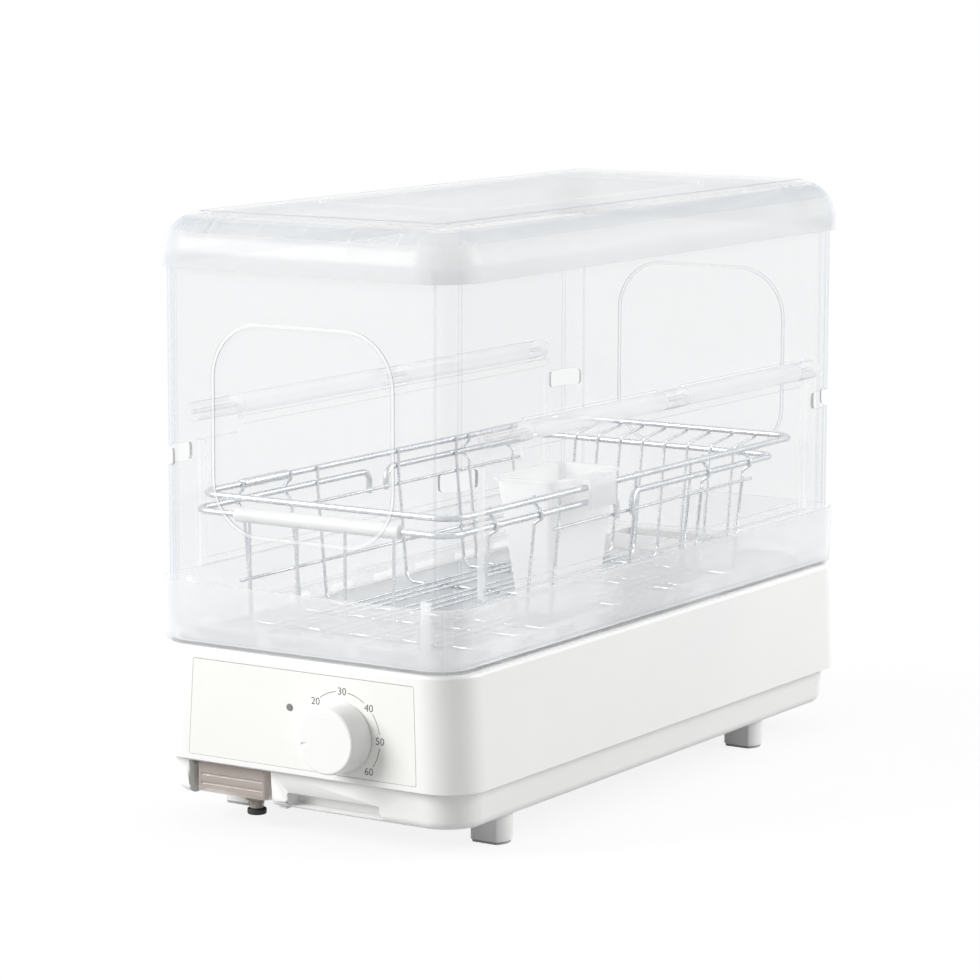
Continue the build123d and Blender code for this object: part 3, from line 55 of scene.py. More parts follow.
# The studio: each lamp's place and size are in metres, its power in watts
LAMPS = (
    ("front_lamp", (-1.6, -2.0, 1.35), 1.4, 76.0),
    ("side_lamp", (2.05, 1.45, 1.3), 1.7, 53.0),
    ("top_lamp", (0.1, 0.2, 2.2), 1.6, 8.0),
)
LAMP_COLOR = (1.0, 0.995, 0.985)
LAMP_AIM = (0.0, 0.0, 0.18)
WORLD_LIGHT = 0.4
BACKGROUND_WHITE = (1.0, 1.0, 1.0, 1.0)
BACKGROUND_GLOW = 1.0
FLOOR_SIZE = 12
FLOOR_COLOR = (0.93, 0.93, 0.93)
FLOOR_ROUGHNESS = 0.9
FLOOR_BOUNCE = (0.45, 0.45, 0.45, 1.0)
# The background's share in the floor near the dryer and far from it, and the two distances
FLOOR_BLEND = (0.86, 1.0)
FLOOR_BLEND_REACH = (0.3, 0.75)

# Noise: patches to the metre, how much detail it has, and the range that it mostly keeps to
MOULDING_TONE = 9.0
MOULDING_GRAIN = 1800.0
FILM_GRAIN = 2600.0
RUBBER_GRAIN = 900.0
CLEAR_TONE = 7.0
CLEAR_GRAIN = 900.0
STEEL_TONE = 60.0
STEEL_MARKS = 700.0
SOFT_DETAIL = 2.0
FINE_DETAIL = 3.0
NOISE_RANGE = (0.3, 0.7)

# The depth of the moulded grain and of the marks on drawn steel, in metres
MOULDING_RELIEF = 0.00002
STEEL_RELIEF = 0.00001

# How fast see-through plastic hides what is behind it as it turns away
SLANT_POWER = 4.0

# The sockets for colours on a Mix node
MIX_FIRST_COLOR = 6
MIX_SECOND_COLOR = 7
MIX_COLOR_RESULT = 2

# The lowest and the highest roughness of the finishes
CLEAR_GLOSS = (0.16, 0.24)
POLISHED_GLOSS = (0.14, 0.2)
LIP_GLOSS = (0.16, 0.22)
SMOKED_GLOSS = (0.08, 0.16)
SATIN = (0.3, 0.42)
LID_SATIN = (0.3, 0.4)
DULL_SATIN = (0.35, 0.5)

# Smoothing of the solids: distances in metres, and the rounding of the edges in millimetres
WELD_DISTANCE = 0.000002
FLAT_ANGLE = math.radians(0.5)
CREASE_ANGLE = math.radians(35.0)
ROUNDING_STEPS = 2
HOUSING_EDGE = 0.5
MOULDING_EDGE = 0.3
SHARP_EDGE = 0.0

# Light passes through many layers of plastic before it leaves the dryer
SEE_THROUGH_LAYERS = 64
LIGHT_BOUNCES = 16


def feed(tree, value, socket):
    """Link a node's output to a socket, or set a plain value on it."""
    if isinstance(value, bpy.types.NodeSocket):
        tree.links.new(value, socket)
    else:
        socket.default_value = value


def worked_out(tree, operation, first, second):
    """The result of a Math node."""
    node = tree.nodes.new("ShaderNodeMath")
    node.operation = operation
    feed(tree, first, node.inputs[0])
    feed(tree, second, node.inputs[1])
    return node.outputs[0]


def between(tree, value, low, high, start=0.0, end=1.0):
    """A number that runs from low to high as a value runs from start to end."""
    change = tree.nodes.new("ShaderNodeMapRange")
    change.inputs["From Min"].default_value = start
    change.inputs["From Max"].default_value = end
    change.inputs["To Min"].default_value = low
    change.inputs["To Max"].default_value = high
    tree.links.new(value, change.inputs["Value"])
    return change.outputs["Result"]


def mixed(tree, share, first, second):
    """A shader that runs from the first to the second as the share runs from 0 to 1."""
    mix = tree.nodes.new("ShaderNodeMixShader")
    feed(tree, share, mix.inputs[0])
    tree.links.new(first, mix.inputs[1])
    tree.links.new(second, mix.inputs[2])
    return mix.outputs[0]


def plain_shader(tree, kind, color, strength=None):
    """The output of a shader node with one colour, and a strength where it gives off light."""
    shader = tree.nodes.new(kind)
    shader.inputs["Color"].default_value = color
    if strength is not None:
        shader.inputs["Strength"].default_value = strength
    return shader.outputs[0]


def noise(tree, scale, detail=SOFT_DETAIL):
    """Noise in the object's own coordinates."""
    place = tree.nodes.new("ShaderNodeTexCoord")
    grain = tree.nodes.new("ShaderNodeTexNoise")
    grain.inputs["Scale"].default_value = scale
    grain.inputs["Detail"].default_value = detail
    tree.links.new(place.outputs["Object"], grain.inputs["Vector"])
    return grain.outputs["Fac"]


def toned(tree, value, low, high):
    """A colour that runs from low to high over the range of the noise."""
    tones = tree.nodes.new("ShaderNodeValToRGB")
    for stop, position, color in zip(tones.color_ramp.elements, NOISE_RANGE, (low, high)):
        stop.position = position
        stop.color = (*color, 1.0)
    tree.links.new(value, tones.inputs["Fac"])
    return tones.outputs["Color"]


def relief(tree, shader, height, depth):
    """A shallow relief on the surface, `depth` metres deep."""
    bump = tree.nodes.new("ShaderNodeBump")
    bump.inputs["Distance"].default_value = depth
    tree.links.new(height, bump.inputs["Height"])
    tree.links.new(bump.outputs["Normal"], shader.inputs["Normal"])


def new_material(name, color, roughness, metallic=0.0):
    """A Principled material with its plain values set on the shader."""
    material = bpy.data.materials.new(name)
    material.use_nodes = True
    shader = material.node_tree.nodes["Principled BSDF"]
    shader.inputs["Base Color"].default_value = (*color, 1.0)
    shader.inputs["Roughness"].default_value = roughness
    shader.inputs["Metallic"].default_value = metallic
    return material, material.node_tree, shader


def camera_at_the_photo():
    """The camera that sees the dryer as the photograph does."""
    bpy.ops.object.camera_add()
    camera = bpy.context.object
    camera.name = "photo_camera"
    camera.data.lens = CAMERA_LENS
    camera.data.sensor_width = CAMERA_SENSOR
    camera.data.clip_end = CAMERA_SIGHT
    turn = Matrix((CAMERA_RIGHT, CAMERA_UP, CAMERA_BACK)).transposed()
    camera.matrix_world = Matrix.Translation(CAMERA_PLACE) @ turn.to_4x4()
    bpy.context.scene.camera = camera


def background(tree, seen, lighting):
    """`seen` for camera, mirror and see-through rays, and `lighting` for the light on the dryer."""
    ray = tree.nodes.new("ShaderNodeLightPath")
    shown = ray.outputs["Is Camera Ray"]
    for kind in ("Is Glossy Ray", "Is Transmission Ray"):
        shown = worked_out(tree, "MAXIMUM", shown, ray.outputs[kind])
    return mixed(tree, shown, lighting, seen)


def studio_light():
    """Soft light from all round and large lamps that face the dryer."""
    world = bpy.data.worlds.new("studio_world")
    bpy.context.scene.world = world
    world.use_nodes = True
    tree = world.node_tree
    lighting = tree.nodes["Background"]
    lighting.inputs["Color"].default_value = BACKGROUND_WHITE
    lighting.inputs["Strength"].default_value = WORLD_LIGHT
    seen = plain_shader(tree, "ShaderNodeBackground", BACKGROUND_WHITE, BACKGROUND_GLOW)
    shown = background(tree, seen, lighting.outputs[0])
    tree.links.new(shown, tree.nodes["World Output"].inputs["Surface"])
    for name, place, size, power in LAMPS:
        bpy.ops.object.light_add(type="AREA", location=place)
        lamp = bpy.context.object
        lamp.name = name
        lamp.data.size = size
        lamp.data.energy = power
        lamp.data.color = LAMP_COLOR
        aim = Vector(LAMP_AIM) - Vector(place)
        lamp.rotation_euler = aim.to_track_quat("-Z", "Y").to_euler()


def studio_floor():
    """A pale floor that keeps the dryer's shadow and runs out into the white background."""
    bpy.ops.object.select_all(action="DESELECT")
    bpy.ops.mesh.primitive_plane_add(size=FLOOR_SIZE, location=(0, 0, 0))
    floor = bpy.context.object
    floor.name = "floor"
    material, tree, surface = new_material("floor_white", FLOOR_COLOR, FLOOR_ROUGHNESS)
    spot = tree.nodes.new("ShaderNodeTexCoord")
    away = tree.nodes.new("ShaderNodeVectorMath")
    away.operation = "LENGTH"
    tree.links.new(spot.outputs["Object"], away.inputs[0])
    share = between(tree, away.outputs["Value"], *FLOOR_BLEND, *FLOOR_BLEND_REACH)
    glow = plain_shader(tree, "ShaderNodeEmission", BACKGROUND_WHITE, BACKGROUND_GLOW)
    seen = mixed(tree, share, surface.outputs[0], glow)
    bounce = plain_shader(tree, "ShaderNodeBsdfDiffuse", FLOOR_BOUNCE)
    shown = background(tree, seen, bounce)
    tree.links.new(shown, tree.nodes["Material Output"].inputs["Surface"])
    floor.data.materials.append(material)


def moulded_plastic(name, low, high, roughness, grain=MOULDING_GRAIN):
    """Opaque moulded plastic with a fine grain and a faint change of tone."""
    material, tree, shader = new_material(name, high, roughness[0])
    tone = toned(tree, noise(tree, MOULDING_TONE), low, high)
    tree.links.new(tone, shader.inputs["Base Color"])
    fine = noise(tree, grain, FINE_DETAIL)
    tree.links.new(between(tree, fine, *roughness), shader.inputs["Roughness"])
    relief(tree, shader, fine, MOULDING_RELIEF)
    return material


def see_through_plastic(
    name, low, high, edge, roughness, haze, rim, tint=(1.0, 1.0, 1.0), through=0.0, border=8.0
):
    """Thin see-through plastic. It tints what lies behind, hides the share `haze` of it where a
    face is seen straight on, and up to the share `rim` where it is seen at a slant. There it also
    turns to the colour `edge`, in a band that a low `border` makes wide: painted shade that stands
    in for how a clear wall darkens at a slant. Frosted plastic passes on the share `through` of the
    light from behind."""
    material, tree, shader = new_material(name, high, roughness[0])
    gloss = between(tree, noise(tree, CLEAR_GRAIN), *roughness)
    tree.links.new(gloss, shader.inputs["Roughness"])
    slant = tree.nodes.new("ShaderNodeLayerWeight").outputs["Facing"]
    patches = toned(tree, noise(tree, CLEAR_TONE), low, high)
    # The colour `edge` that a face turns to at a slant is painted shade
    tone = tree.nodes.new("ShaderNodeMix")
    tone.data_type = "RGBA"
    tree.links.new(worked_out(tree, "POWER", slant, border), tone.inputs["Factor"])
    tree.links.new(patches, tone.inputs[MIX_FIRST_COLOR])
    tone.inputs[MIX_SECOND_COLOR].default_value = (*edge, 1.0)
    tree.links.new(tone.outputs[MIX_COLOR_RESULT], shader.inputs["Base Color"])
    body = shader.outputs[0]
    if through:
        glow = plain_shader(tree, "ShaderNodeBsdfTranslucent", (*high, 1.0))
        body = mixed(tree, through, body, glow)
    past = plain_shader(tree, "ShaderNodeBsdfTransparent", (*tint, 1.0))
    cover = between(tree, worked_out(tree, "POWER", slant, SLANT_POWER), haze, rim)
    sheet = mixed(tree, cover, past, body)
    tree.links.new(sheet, tree.nodes["Material Output"].inputs["Surface"])
    return material


def drawn_steel(name, low, high, roughness):
    """Drawn and polished steel, with faint marks."""
    material, tree, shader = new_material(name, high, roughness[0], metallic=1.0)
    tone = toned(tree, noise(tree, STEEL_TONE, FINE_DETAIL), low, high)
    tree.links.new(tone, shader.inputs["Base Color"])
    marks = noise(tree, STEEL_MARKS)
    tree.links.new(between(tree, marks, *roughness), shader.inputs["Roughness"])
    relief(tree, shader, marks, STEEL_RELIEF)
    return material


# The housing and the panel
white = moulded_plastic(
    "white_moulding", low=(0.86, 0.865, 0.865), high=(0.89, 0.89, 0.885), roughness=SATIN
)
panel_white = moulded_plastic(
    "panel_film", low=(0.845, 0.845, 0.82), high=(0.87, 0.87, 0.845), roughness=(0.38, 0.5),
    grain=FILM_GRAIN,
)

# The hood and its flaps
clear = see_through_plastic(
    "clear_hood_plastic", low=(0.84, 0.845, 0.85), high=(0.88, 0.885, 0.89),
    edge=(0.45, 0.52, 0.62), roughness=CLEAR_GLOSS, haze=0.085, rim=0.7,
    tint=(0.982, 0.984, 0.986),
)
clear_bead = see_through_plastic(
    "clear_bead", low=(0.9, 0.905, 0.91), high=(0.94, 0.94, 0.94),
    edge=(0.35, 0.39, 0.45), roughness=CLEAR_GLOSS, haze=0.22, rim=0.85, border=3.0,
)
# Painted shade: a blue-grey band down the upright corners of the hood, where the wall turns away
clear_corner = see_through_plastic(
    "clear_corner", low=(0.8, 0.84, 0.88), high=(0.84, 0.87, 0.9),
    edge=(0.36, 0.48, 0.64), roughness=POLISHED_GLOSS, haze=0.12, rim=0.7,
    tint=(0.985, 0.988, 0.992), border=2.0,
)
light_corner = see_through_plastic(
    "light_corner", low=(0.88, 0.89, 0.9), high=(0.92, 0.925, 0.93),
    edge=(0.45, 0.52, 0.62), roughness=POLISHED_GLOSS, haze=0.07, rim=0.7,
    tint=(0.985, 0.988, 0.992),
)
# Painted shade: a dark grey line where each upright corner starts and ends its turn
corner_line = see_through_plastic(
    "corner_line", low=(0.5, 0.52, 0.55), high=(0.56, 0.58, 0.6),
    edge=(0.4, 0.45, 0.52), roughness=POLISHED_GLOSS, haze=0.2, rim=0.7,
)
rail_white = see_through_plastic(
    "rail_white", low=(0.95, 0.955, 0.96), high=(0.98, 0.98, 0.98),
    edge=(0.38, 0.42, 0.47), roughness=POLISHED_GLOSS, haze=0.42, rim=0.95,
    through=0.5, border=2.0,
)
arch_bead = see_through_plastic(
    "arch_bead", low=(0.9, 0.905, 0.91), high=(0.94, 0.94, 0.94),
    edge=(0.5, 0.55, 0.62), roughness=POLISHED_GLOSS, haze=0.4, rim=0.9,
)
# Painted shade: a dark grey line down both flanks of each arch bead
arch_line = see_through_plastic(
    "arch_line", low=(0.34, 0.36, 0.39), high=(0.4, 0.42, 0.45),
    edge=(0.34, 0.36, 0.39), roughness=POLISHED_GLOSS, haze=0.7, rim=0.8,
)
# Painted shade: a dark tone on the ends of the catch slots, where shade falls inside them
slit_dark = see_through_plastic(
    "slit_shadow", low=(0.16, 0.16, 0.17), high=(0.2, 0.2, 0.21),
    edge=(0.12, 0.12, 0.13), roughness=LID_SATIN, haze=0.7, rim=0.8,
)

# The lid
lid_frost = see_through_plastic(
    "lid_frost", low=(0.72, 0.75, 0.79), high=(0.77, 0.8, 0.835),
    edge=(0.36, 0.45, 0.56), roughness=LID_SATIN, haze=0.26, rim=0.8,
    tint=(0.975, 0.975, 0.973), through=0.35, border=3.0,
)
lid_lip = see_through_plastic(
    "lid_lip_frost", low=(0.9, 0.9, 0.9), high=(0.935, 0.935, 0.93),
    edge=(0.34, 0.44, 0.56), roughness=LIP_GLOSS, haze=0.3, rim=0.85,
    tint=(0.97, 0.97, 0.968), through=0.4, border=3.0,
)
# Painted shade: a dark grey line where the lid's shoulder turns into its top
lid_line = see_through_plastic(
    "lid_line_painted_shade", low=(0.3, 0.33, 0.37), high=(0.36, 0.39, 0.43),
    edge=(0.3, 0.33, 0.37), roughness=LID_SATIN, haze=0.6, rim=0.75,
)
lid_rib = see_through_plastic(
    "lid_rib_frost", low=(0.92, 0.92, 0.92), high=(0.955, 0.955, 0.95),
    edge=(0.5, 0.55, 0.62), roughness=LID_SATIN, haze=0.08, rim=0.6, through=0.35,
)
lid_top = see_through_plastic(
    "lid_top_frost", low=(0.94, 0.94, 0.935), high=(0.97, 0.97, 0.96),
    edge=(0.7, 0.73, 0.77), roughness=LID_SATIN, haze=0.12, rim=0.36, through=0.35,
)

# The drip tray and the cutlery holder
frosted = see_through_plastic(
    "frosted_plastic", low=(0.86, 0.865, 0.87), high=(0.89, 0.895, 0.9),
    edge=(0.55, 0.6, 0.68), roughness=SATIN, haze=0.46, rim=0.88, through=0.55, border=5.0,
)
frosted_rim = see_through_plastic(
    "frosted_rim", low=(0.93, 0.935, 0.94), high=(0.96, 0.96, 0.965),
    edge=(0.5, 0.56, 0.64), roughness=SATIN, haze=0.5, rim=0.88, through=0.5, border=4.0,
)
tray_inside = see_through_plastic(
    "tray_inside", low=(0.93, 0.935, 0.94), high=(0.96, 0.96, 0.965),
    edge=(0.62, 0.67, 0.73), roughness=SATIN, haze=0.28, rim=0.6, through=0.6,
)
tray_floor_tone = see_through_plastic(
    "tray_floor_frost", low=(0.94, 0.955, 0.97), high=(0.96, 0.97, 0.98),
    edge=(0.85, 0.88, 0.92), roughness=SATIN, haze=0.92, rim=0.96, through=0.2,
)
milky = see_through_plastic(
    "milky_plastic", low=(0.95, 0.95, 0.95), high=(0.975, 0.975, 0.975),
    edge=(0.78, 0.8, 0.83), roughness=DULL_SATIN, haze=0.74, rim=0.95, through=0.5,
)

# The drain drawer
smoked = see_through_plastic(
    "smoked_plastic", low=(0.72, 0.66, 0.62), high=(0.8, 0.745, 0.705),
    edge=(0.42, 0.36, 0.32), roughness=SMOKED_GLOSS, haze=0.42, rim=0.8,
    tint=(0.93, 0.89, 0.86),
)
smoked_rim = see_through_plastic(
    "smoked_rim", low=(0.82, 0.79, 0.77), high=(0.88, 0.86, 0.84),
    edge=(0.6, 0.56, 0.53), roughness=SMOKED_GLOSS, haze=0.6, rim=0.85,
)

# Wire, sheet, rubber and small parts
steel = drawn_steel(
    "basket_wire", low=(0.6, 0.625, 0.65), high=(0.7, 0.72, 0.74), roughness=(0.22, 0.34)
)
sheet_steel = drawn_steel(
    "inner_sheet", low=(0.5, 0.5, 0.5), high=(0.62, 0.62, 0.62), roughness=DULL_SATIN
)
black_rubber = moulded_plastic(
    "black_rubber", low=(0.012, 0.012, 0.012), high=(0.02, 0.02, 0.02), roughness=(0.5, 0.65),
    grain=RUBBER_GRAIN,
)
grey_rubber = moulded_plastic(
    "grey_rubber", low=(0.42, 0.42, 0.42), high=(0.5, 0.5, 0.5), roughness=(0.6, 0.75),
    grain=RUBBER_GRAIN,
)
dark_plastic = moulded_plastic(
    "inner_plastic", low=(0.06, 0.06, 0.06), high=(0.1, 0.1, 0.1), roughness=(0.45, 0.6)
)
lamp_grey = moulded_plastic(
    "lamp_lens", low=(0.2, 0.2, 0.21), high=(0.26, 0.26, 0.27), roughness=(0.15, 0.25)
)
print_grey = moulded_plastic(
    "printed_grey", low=(0.1, 0.1, 0.1), high=(0.14, 0.14, 0.14), roughness=(0.4, 0.5)
)


def only(piece):
    """Select one object alone and make it active."""
    bpy.ops.object.select_all(action="DESELECT")
    piece.select_set(True)
    bpy.context.view_layer.objects.active = piece


def dress(piece, material):
    """Give a piece one material."""
    piece.data.materials.clear()
    piece.data.materials.append(material)


def refinish(piece, material, chosen):
    """Give the chosen faces of a piece a finish of their own."""
    piece.data.materials.append(material)
    last = len(piece.data.materials) - 1
    for face in piece.data.polygons:
        if chosen(face.center / MM, face.normal):
            face.material_index = last


def finished_moulding(node, name, body, material, edge):
    """A smooth version of a solid: its triangles merged and its edges rounded by `edge` mm."""
    piece = nodes[node].copy()
    piece.data = nodes[node].data.copy()
    piece.parent = None
    piece.name = name
    # The copy is a piece of its own, so it drops the tags of the solid
    for key in list(piece.keys()):
        del piece[key]
    bpy.context.scene.collection.objects.link(piece)
    only(piece)
    bpy.ops.object.mode_set(mode="EDIT")
    bpy.ops.mesh.select_all(action="SELECT")
    bpy.ops.mesh.remove_doubles(threshold=WELD_DISTANCE)
    bpy.ops.mesh.dissolve_limited(angle_limit=FLAT_ANGLE)
    bpy.ops.object.mode_set(mode="OBJECT")
    if edge:
        rounding = piece.modifiers.new("rounded_edges", "BEVEL")
        rounding.width = edge * MM
        rounding.segments = ROUNDING_STEPS
        rounding.limit_method = "ANGLE"
        rounding.angle_limit = CREASE_ANGLE
        rounding.use_clamp_overlap = True
        bpy.ops.object.modifier_apply(modifier=rounding.name)
    bpy.ops.object.shade_smooth_by_angle(angle=CREASE_ANGLE)
    even = piece.modifiers.new("flat_faces_stay_flat", "WEIGHTED_NORMAL")
    even.keep_sharp = True
    bpy.ops.object.modifier_apply(modifier=even.name)
    dress(piece, material)
    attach(piece, body)
    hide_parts(node)
    return piece


bpy.context.scene.view_settings.view_transform = "Standard"
bpy.context.scene.cycles.transparent_max_bounces = SEE_THROUGH_LAYERS
bpy.context.scene.cycles.max_bounces = LIGHT_BOUNCES
camera_at_the_photo()
studio_light()
studio_floor()

# The solids that stay as they are and take a finish
for node, material in (
    ("case_screws", sheet_steel),
    ("foot_pads", grey_rubber),
    ("control_panel", panel_white),
    ("power_lamp", lamp_grey),
    ("timer_switch", dark_plastic),
    ("timer_shaft", sheet_steel),
    ("hinge_pins", clear),
    ("air_outlet_sleeve", white),
    ("fan_duct", sheet_steel),
    ("fan_motor", sheet_steel),
    ("fan_wheel", dark_plastic),
    ("heater", sheet_steel),
    ("thermostat", dark_plastic),
    ("thermal_fuse", dark_plastic),
    ("drain_pipe", white),
    ("cord_gland", dark_plastic),
):
    dress(nodes[node], material)

# The solids that are seen from close by, as smooth mouldings and wires
finished = {}
for node, name, body, slot, material, edge in (
    ("base_housing", "housing", "base", "white_plastic", white, HOUSING_EDGE),
    ("bottom_case", "lower_case", "base", "white_plastic", white, SHARP_EDGE),
    ("feet", "foot_posts", "base", "white_plastic", white, HOUSING_EDGE),
    ("timer_dial", "dial", "dial", "white_plastic", white, MOULDING_EDGE),
    ("drain_drawer", "water_drawer", "drawer", "smoked_plastic", smoked, SHARP_EDGE),
    ("drain_plug", "rubber_plug", "plug", "black_rubber", black_rubber, SHARP_EDGE),
    ("drip_tray", "tray_body", "tray", "frosted_plastic", frosted, MOULDING_EDGE),
    ("hood_shell", "clear_shell", "hood", "clear_plastic", clear, MOULDING_EDGE),
    ("lid", "vented_lid", "hood", "frosted_plastic", lid_frost, MOULDING_EDGE),
    ("door_left", "left_flap_plate", "left_flap", "clear_plastic", clear, MOULDING_EDGE),
    ("door_right", "right_flap_plate", "right_flap", "clear_plastic", clear, MOULDING_EDGE),
    ("handle_grip", "grip_tube", "basket", "white_plastic", white, SHARP_EDGE),
    ("cutlery_holder", "cutlery_cup", "holder", "frosted_plastic", milky, MOULDING_EDGE),
):
    finished[node] = finished_moulding(node, name, body, material, edge)
for node, name in (
    ("basket_rim", "rim_wire"),
    ("basket_front_rail", "front_rail_wire"),
    ("basket_rear_rail", "rear_rail_wire"),
    ("basket_left_wires", "left_wall_wires"),
    ("basket_right_wires", "right_wall_wires"),
    ("basket_front_wires", "front_wall_wires"),
    ("basket_rear_wires", "rear_wall_wires"),
    ("basket_rear_shelf", "rear_shelf_wires"),
    ("basket_floor", "floor_wires"),
    ("rim_sleeve", "rim_joint"),
):
    finished_moulding(node, name, "basket", steel, SHARP_EDGE)

# Where the finishes change, in millimetres. A reach is from the middle outwards, a foot and a head
# are heights, a depth is from the edge of the piece inwards, and NEAR is close enough to a wall
LID_LOW, LID_HIGH = (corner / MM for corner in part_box("lid"))
HOOD_LOW, HOOD_HIGH = (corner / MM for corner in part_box("hood_shell"))
TRAY_LOW, TRAY_HIGH = (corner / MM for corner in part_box("drip_tray"))
DRAWER_LOW, DRAWER_HIGH = (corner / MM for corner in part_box("drain_drawer"))
FLAP_TOP = (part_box("door_right")[1] / MM).z
MIDDLE_Y = 7.5
NEAR = 0.1
HOOD_REACH = 102.4
HOOD_WALL = 2.0
ARCH_REACH = 88.0
ARCH_FOOT = 170.0
ARCH_HEAD = 310.0
ARCH_BEAD_DEPTH = 0.8
CATCH_FOOT = 215.2
CATCH_HEAD = 226.6
END_CATCH_REACH = 230.0
SIDE_CATCH_REACH = 226.0
HINGE_FOOT = 236.0
HINGE_HEAD = 251.0
HINGE_REACH = 207.0
HINGE_RAIL_DEPTH = 13.0
LID_CORNER = 30.0
LID_SKIN = 1.0
LID_RIB_INSET = 2.5
TRAY_RIM_DEPTH = 4.0
TRAY_FOOT_DEPTH = 2.5
TRAY_FLOOR_DEPTH = 20.0
TRAY_LEDGE_REACH_X = 103.0
TRAY_LEDGE_REACH_Y = 234.0
DRAWER_RIM_DEPTH = 2.0
DRAWER_FRONT_DEPTH = 1.5

# How a face lies, by the part of its normal across, along or up the dryer
HOOD_UPRIGHT = 0.3
HOOD_STARTS_TO_TURN = 0.03
HOOD_HAS_TURNED = 0.2
HOOD_CUT_EDGE = 0.5
BEAD_TOP = 0.95
CATCH_SLOT_END = 0.7
FLAP_PLATE = 0.6
LID_UPRIGHT = 0.1
LID_SHOULDER = 0.6
LID_LEVEL = 0.9
LID_TURN_START = 0.985
LID_TURN_END = 0.999
TRAY_UPRIGHT = 0.5
TRAY_LEVEL = 0.7
DRAWER_LINE = 0.4


def along(place):
    """How far a place lies from the middle along the dryer."""
    return abs(place.y - MIDDLE_Y)


def turn_of(normal):
    """How far a wall has turned away from the dryer's long and short sides."""
    return min(abs(normal.x), abs(normal.y))


def on_hood_corner(place, normal):
    """The rounded upright corners of the hood, which take a painted blue-grey shade."""
    return turn_of(normal) > HOOD_HAS_TURNED and abs(normal.z) < HOOD_UPRIGHT


def on_light_corner(place, normal):
    """The right-hand front corner and the left-hand rear one, which stay nearly clear, without the
    painted blue-grey shade of the other two.
    """
    return on_hood_corner(place, normal) and place.x * (place.y - MIDDLE_Y) < 0


def on_corner_line(place, normal):
    """The first and the last strip of each upright corner, where the wall starts to turn. They are
    painted dark grey as the shade line along the turn.
    """
    starts_to_turn = HOOD_STARTS_TO_TURN < turn_of(normal) <= HOOD_HAS_TURNED
    return starts_to_turn and abs(normal.z) < HOOD_UPRIGHT and abs(place.x) > ARCH_REACH


def on_arch_bead(place, normal):
    """The arch beads that stand out from the hood's two ends."""
    from_end = min(place.y - HOOD_LOW.y, HOOD_HIGH.y - place.y)
    on_arch = abs(place.x) < ARCH_REACH and ARCH_FOOT < place.z < ARCH_HEAD
    return from_end < ARCH_BEAD_DEPTH - NEAR and on_arch


def on_arch_line(place, normal):
    """The two flanks of each arch bead, painted dark grey as the shade along them."""
    return on_arch_bead(place, normal) and abs(normal.y) < BEAD_TOP


def on_catch_wall(place, normal):
    """The two ends of each catch slot, painted dark as the shade inside the slot."""
    at_end = along(place) > END_CATCH_REACH and abs(normal.x) > CATCH_SLOT_END
    in_side = abs(place.x) > HOOD_REACH - HOOD_WALL and along(place) < SIDE_CATCH_REACH
    at_side = in_side and abs(normal.y) > CATCH_SLOT_END
    in_wall = CATCH_FOOT < place.z < CATCH_HEAD and abs(place.x) < HOOD_REACH - NEAR / 2
    return in_wall and (at_end or at_side)


def on_hood_bead(place, normal):
    """The cut edges, and the knuckles and rails along the hood's sides."""
    by_hinge = HINGE_FOOT < place.z < HINGE_HEAD and abs(place.x) > ARCH_REACH
    stands_out = abs(place.x) > HOOD_REACH + NEAR
    on_rail = (stands_out or by_hinge) and along(place) < HINGE_REACH
    return on_rail or abs(normal.z) > HOOD_CUT_EDGE


def inside_lid(place):
    """How far a place lies inside the lid's upright sides."""
    past_x = abs(place.x) - (LID_HIGH.x - LID_CORNER)
    past_y = along(place) - ((LID_HIGH.y - LID_LOW.y) / 2 - LID_CORNER)
    if past_x > 0 and past_y > 0:
        return LID_CORNER - math.hypot(past_x, past_y)
    return LID_CORNER - max(past_x, past_y)


def on_lid_lip(place, normal):
    """The outside of the lid's rounded shoulder and of its lip."""
    return inside_lid(place) < LID_SKIN or LID_UPRIGHT < normal.z <= LID_SHOULDER


def on_lid_rib(place, normal):
    """The upright faces of the ribs and gussets under the lid."""
    return abs(normal.z) <= LID_UPRIGHT and inside_lid(place) > LID_RIB_INSET


def on_lid_top(place, normal):
    """Both faces of the lid's top and its raised crown."""
    return abs(normal.z) > LID_LEVEL


def on_lid_line(place, normal):
    """The strip where the lid's shoulder turns into its flat top, painted dark grey as the shade
    line along that edge.
    """
    return LID_TURN_START < normal.z < LID_TURN_END and inside_lid(place) < LID_CORNER


def on_flap_edge(place, normal):
    """The hinge rail, the ribs and the cut edges of a flap."""
    return place.z > FLAP_TOP - HINGE_RAIL_DEPTH or abs(normal.x) < FLAP_PLATE


def on_tray_inside(place, normal):
    """The inner faces of the tray's walls."""
    return normal.x * place.x < 0 or normal.y * (place.y - MIDDLE_Y) < 0


def on_tray_rim(place, normal):
    """The rim, the ribs and the small upright faces round the windows."""
    by_ledge = along(place) < TRAY_LEDGE_REACH_Y and abs(place.x) < TRAY_LEDGE_REACH_X
    at_window = abs(normal.z) < TRAY_UPRIGHT and by_ledge
    return place.z > TRAY_HIGH.z - TRAY_RIM_DEPTH or at_window


def on_tray_floor(place, normal):
    """The floor inside the ledge."""
    return normal.z > TRAY_LEVEL and place.z < TRAY_LOW.z + TRAY_FLOOR_DEPTH


def on_tray_foot(place, normal):
    """The lowest edge of the tray, where it rests on the housing."""
    return place.z < TRAY_LOW.z + TRAY_FOOT_DEPTH and normal.z < TRAY_UPRIGHT


def on_drawer_edge(place, normal):
    """The lines across the drawer's front, its rim and its flanges."""
    at_front = place.y < DRAWER_LOW.y + DRAWER_FRONT_DEPTH and abs(normal.z) > DRAWER_LINE
    return place.z > DRAWER_HIGH.z - DRAWER_RIM_DEPTH or at_front


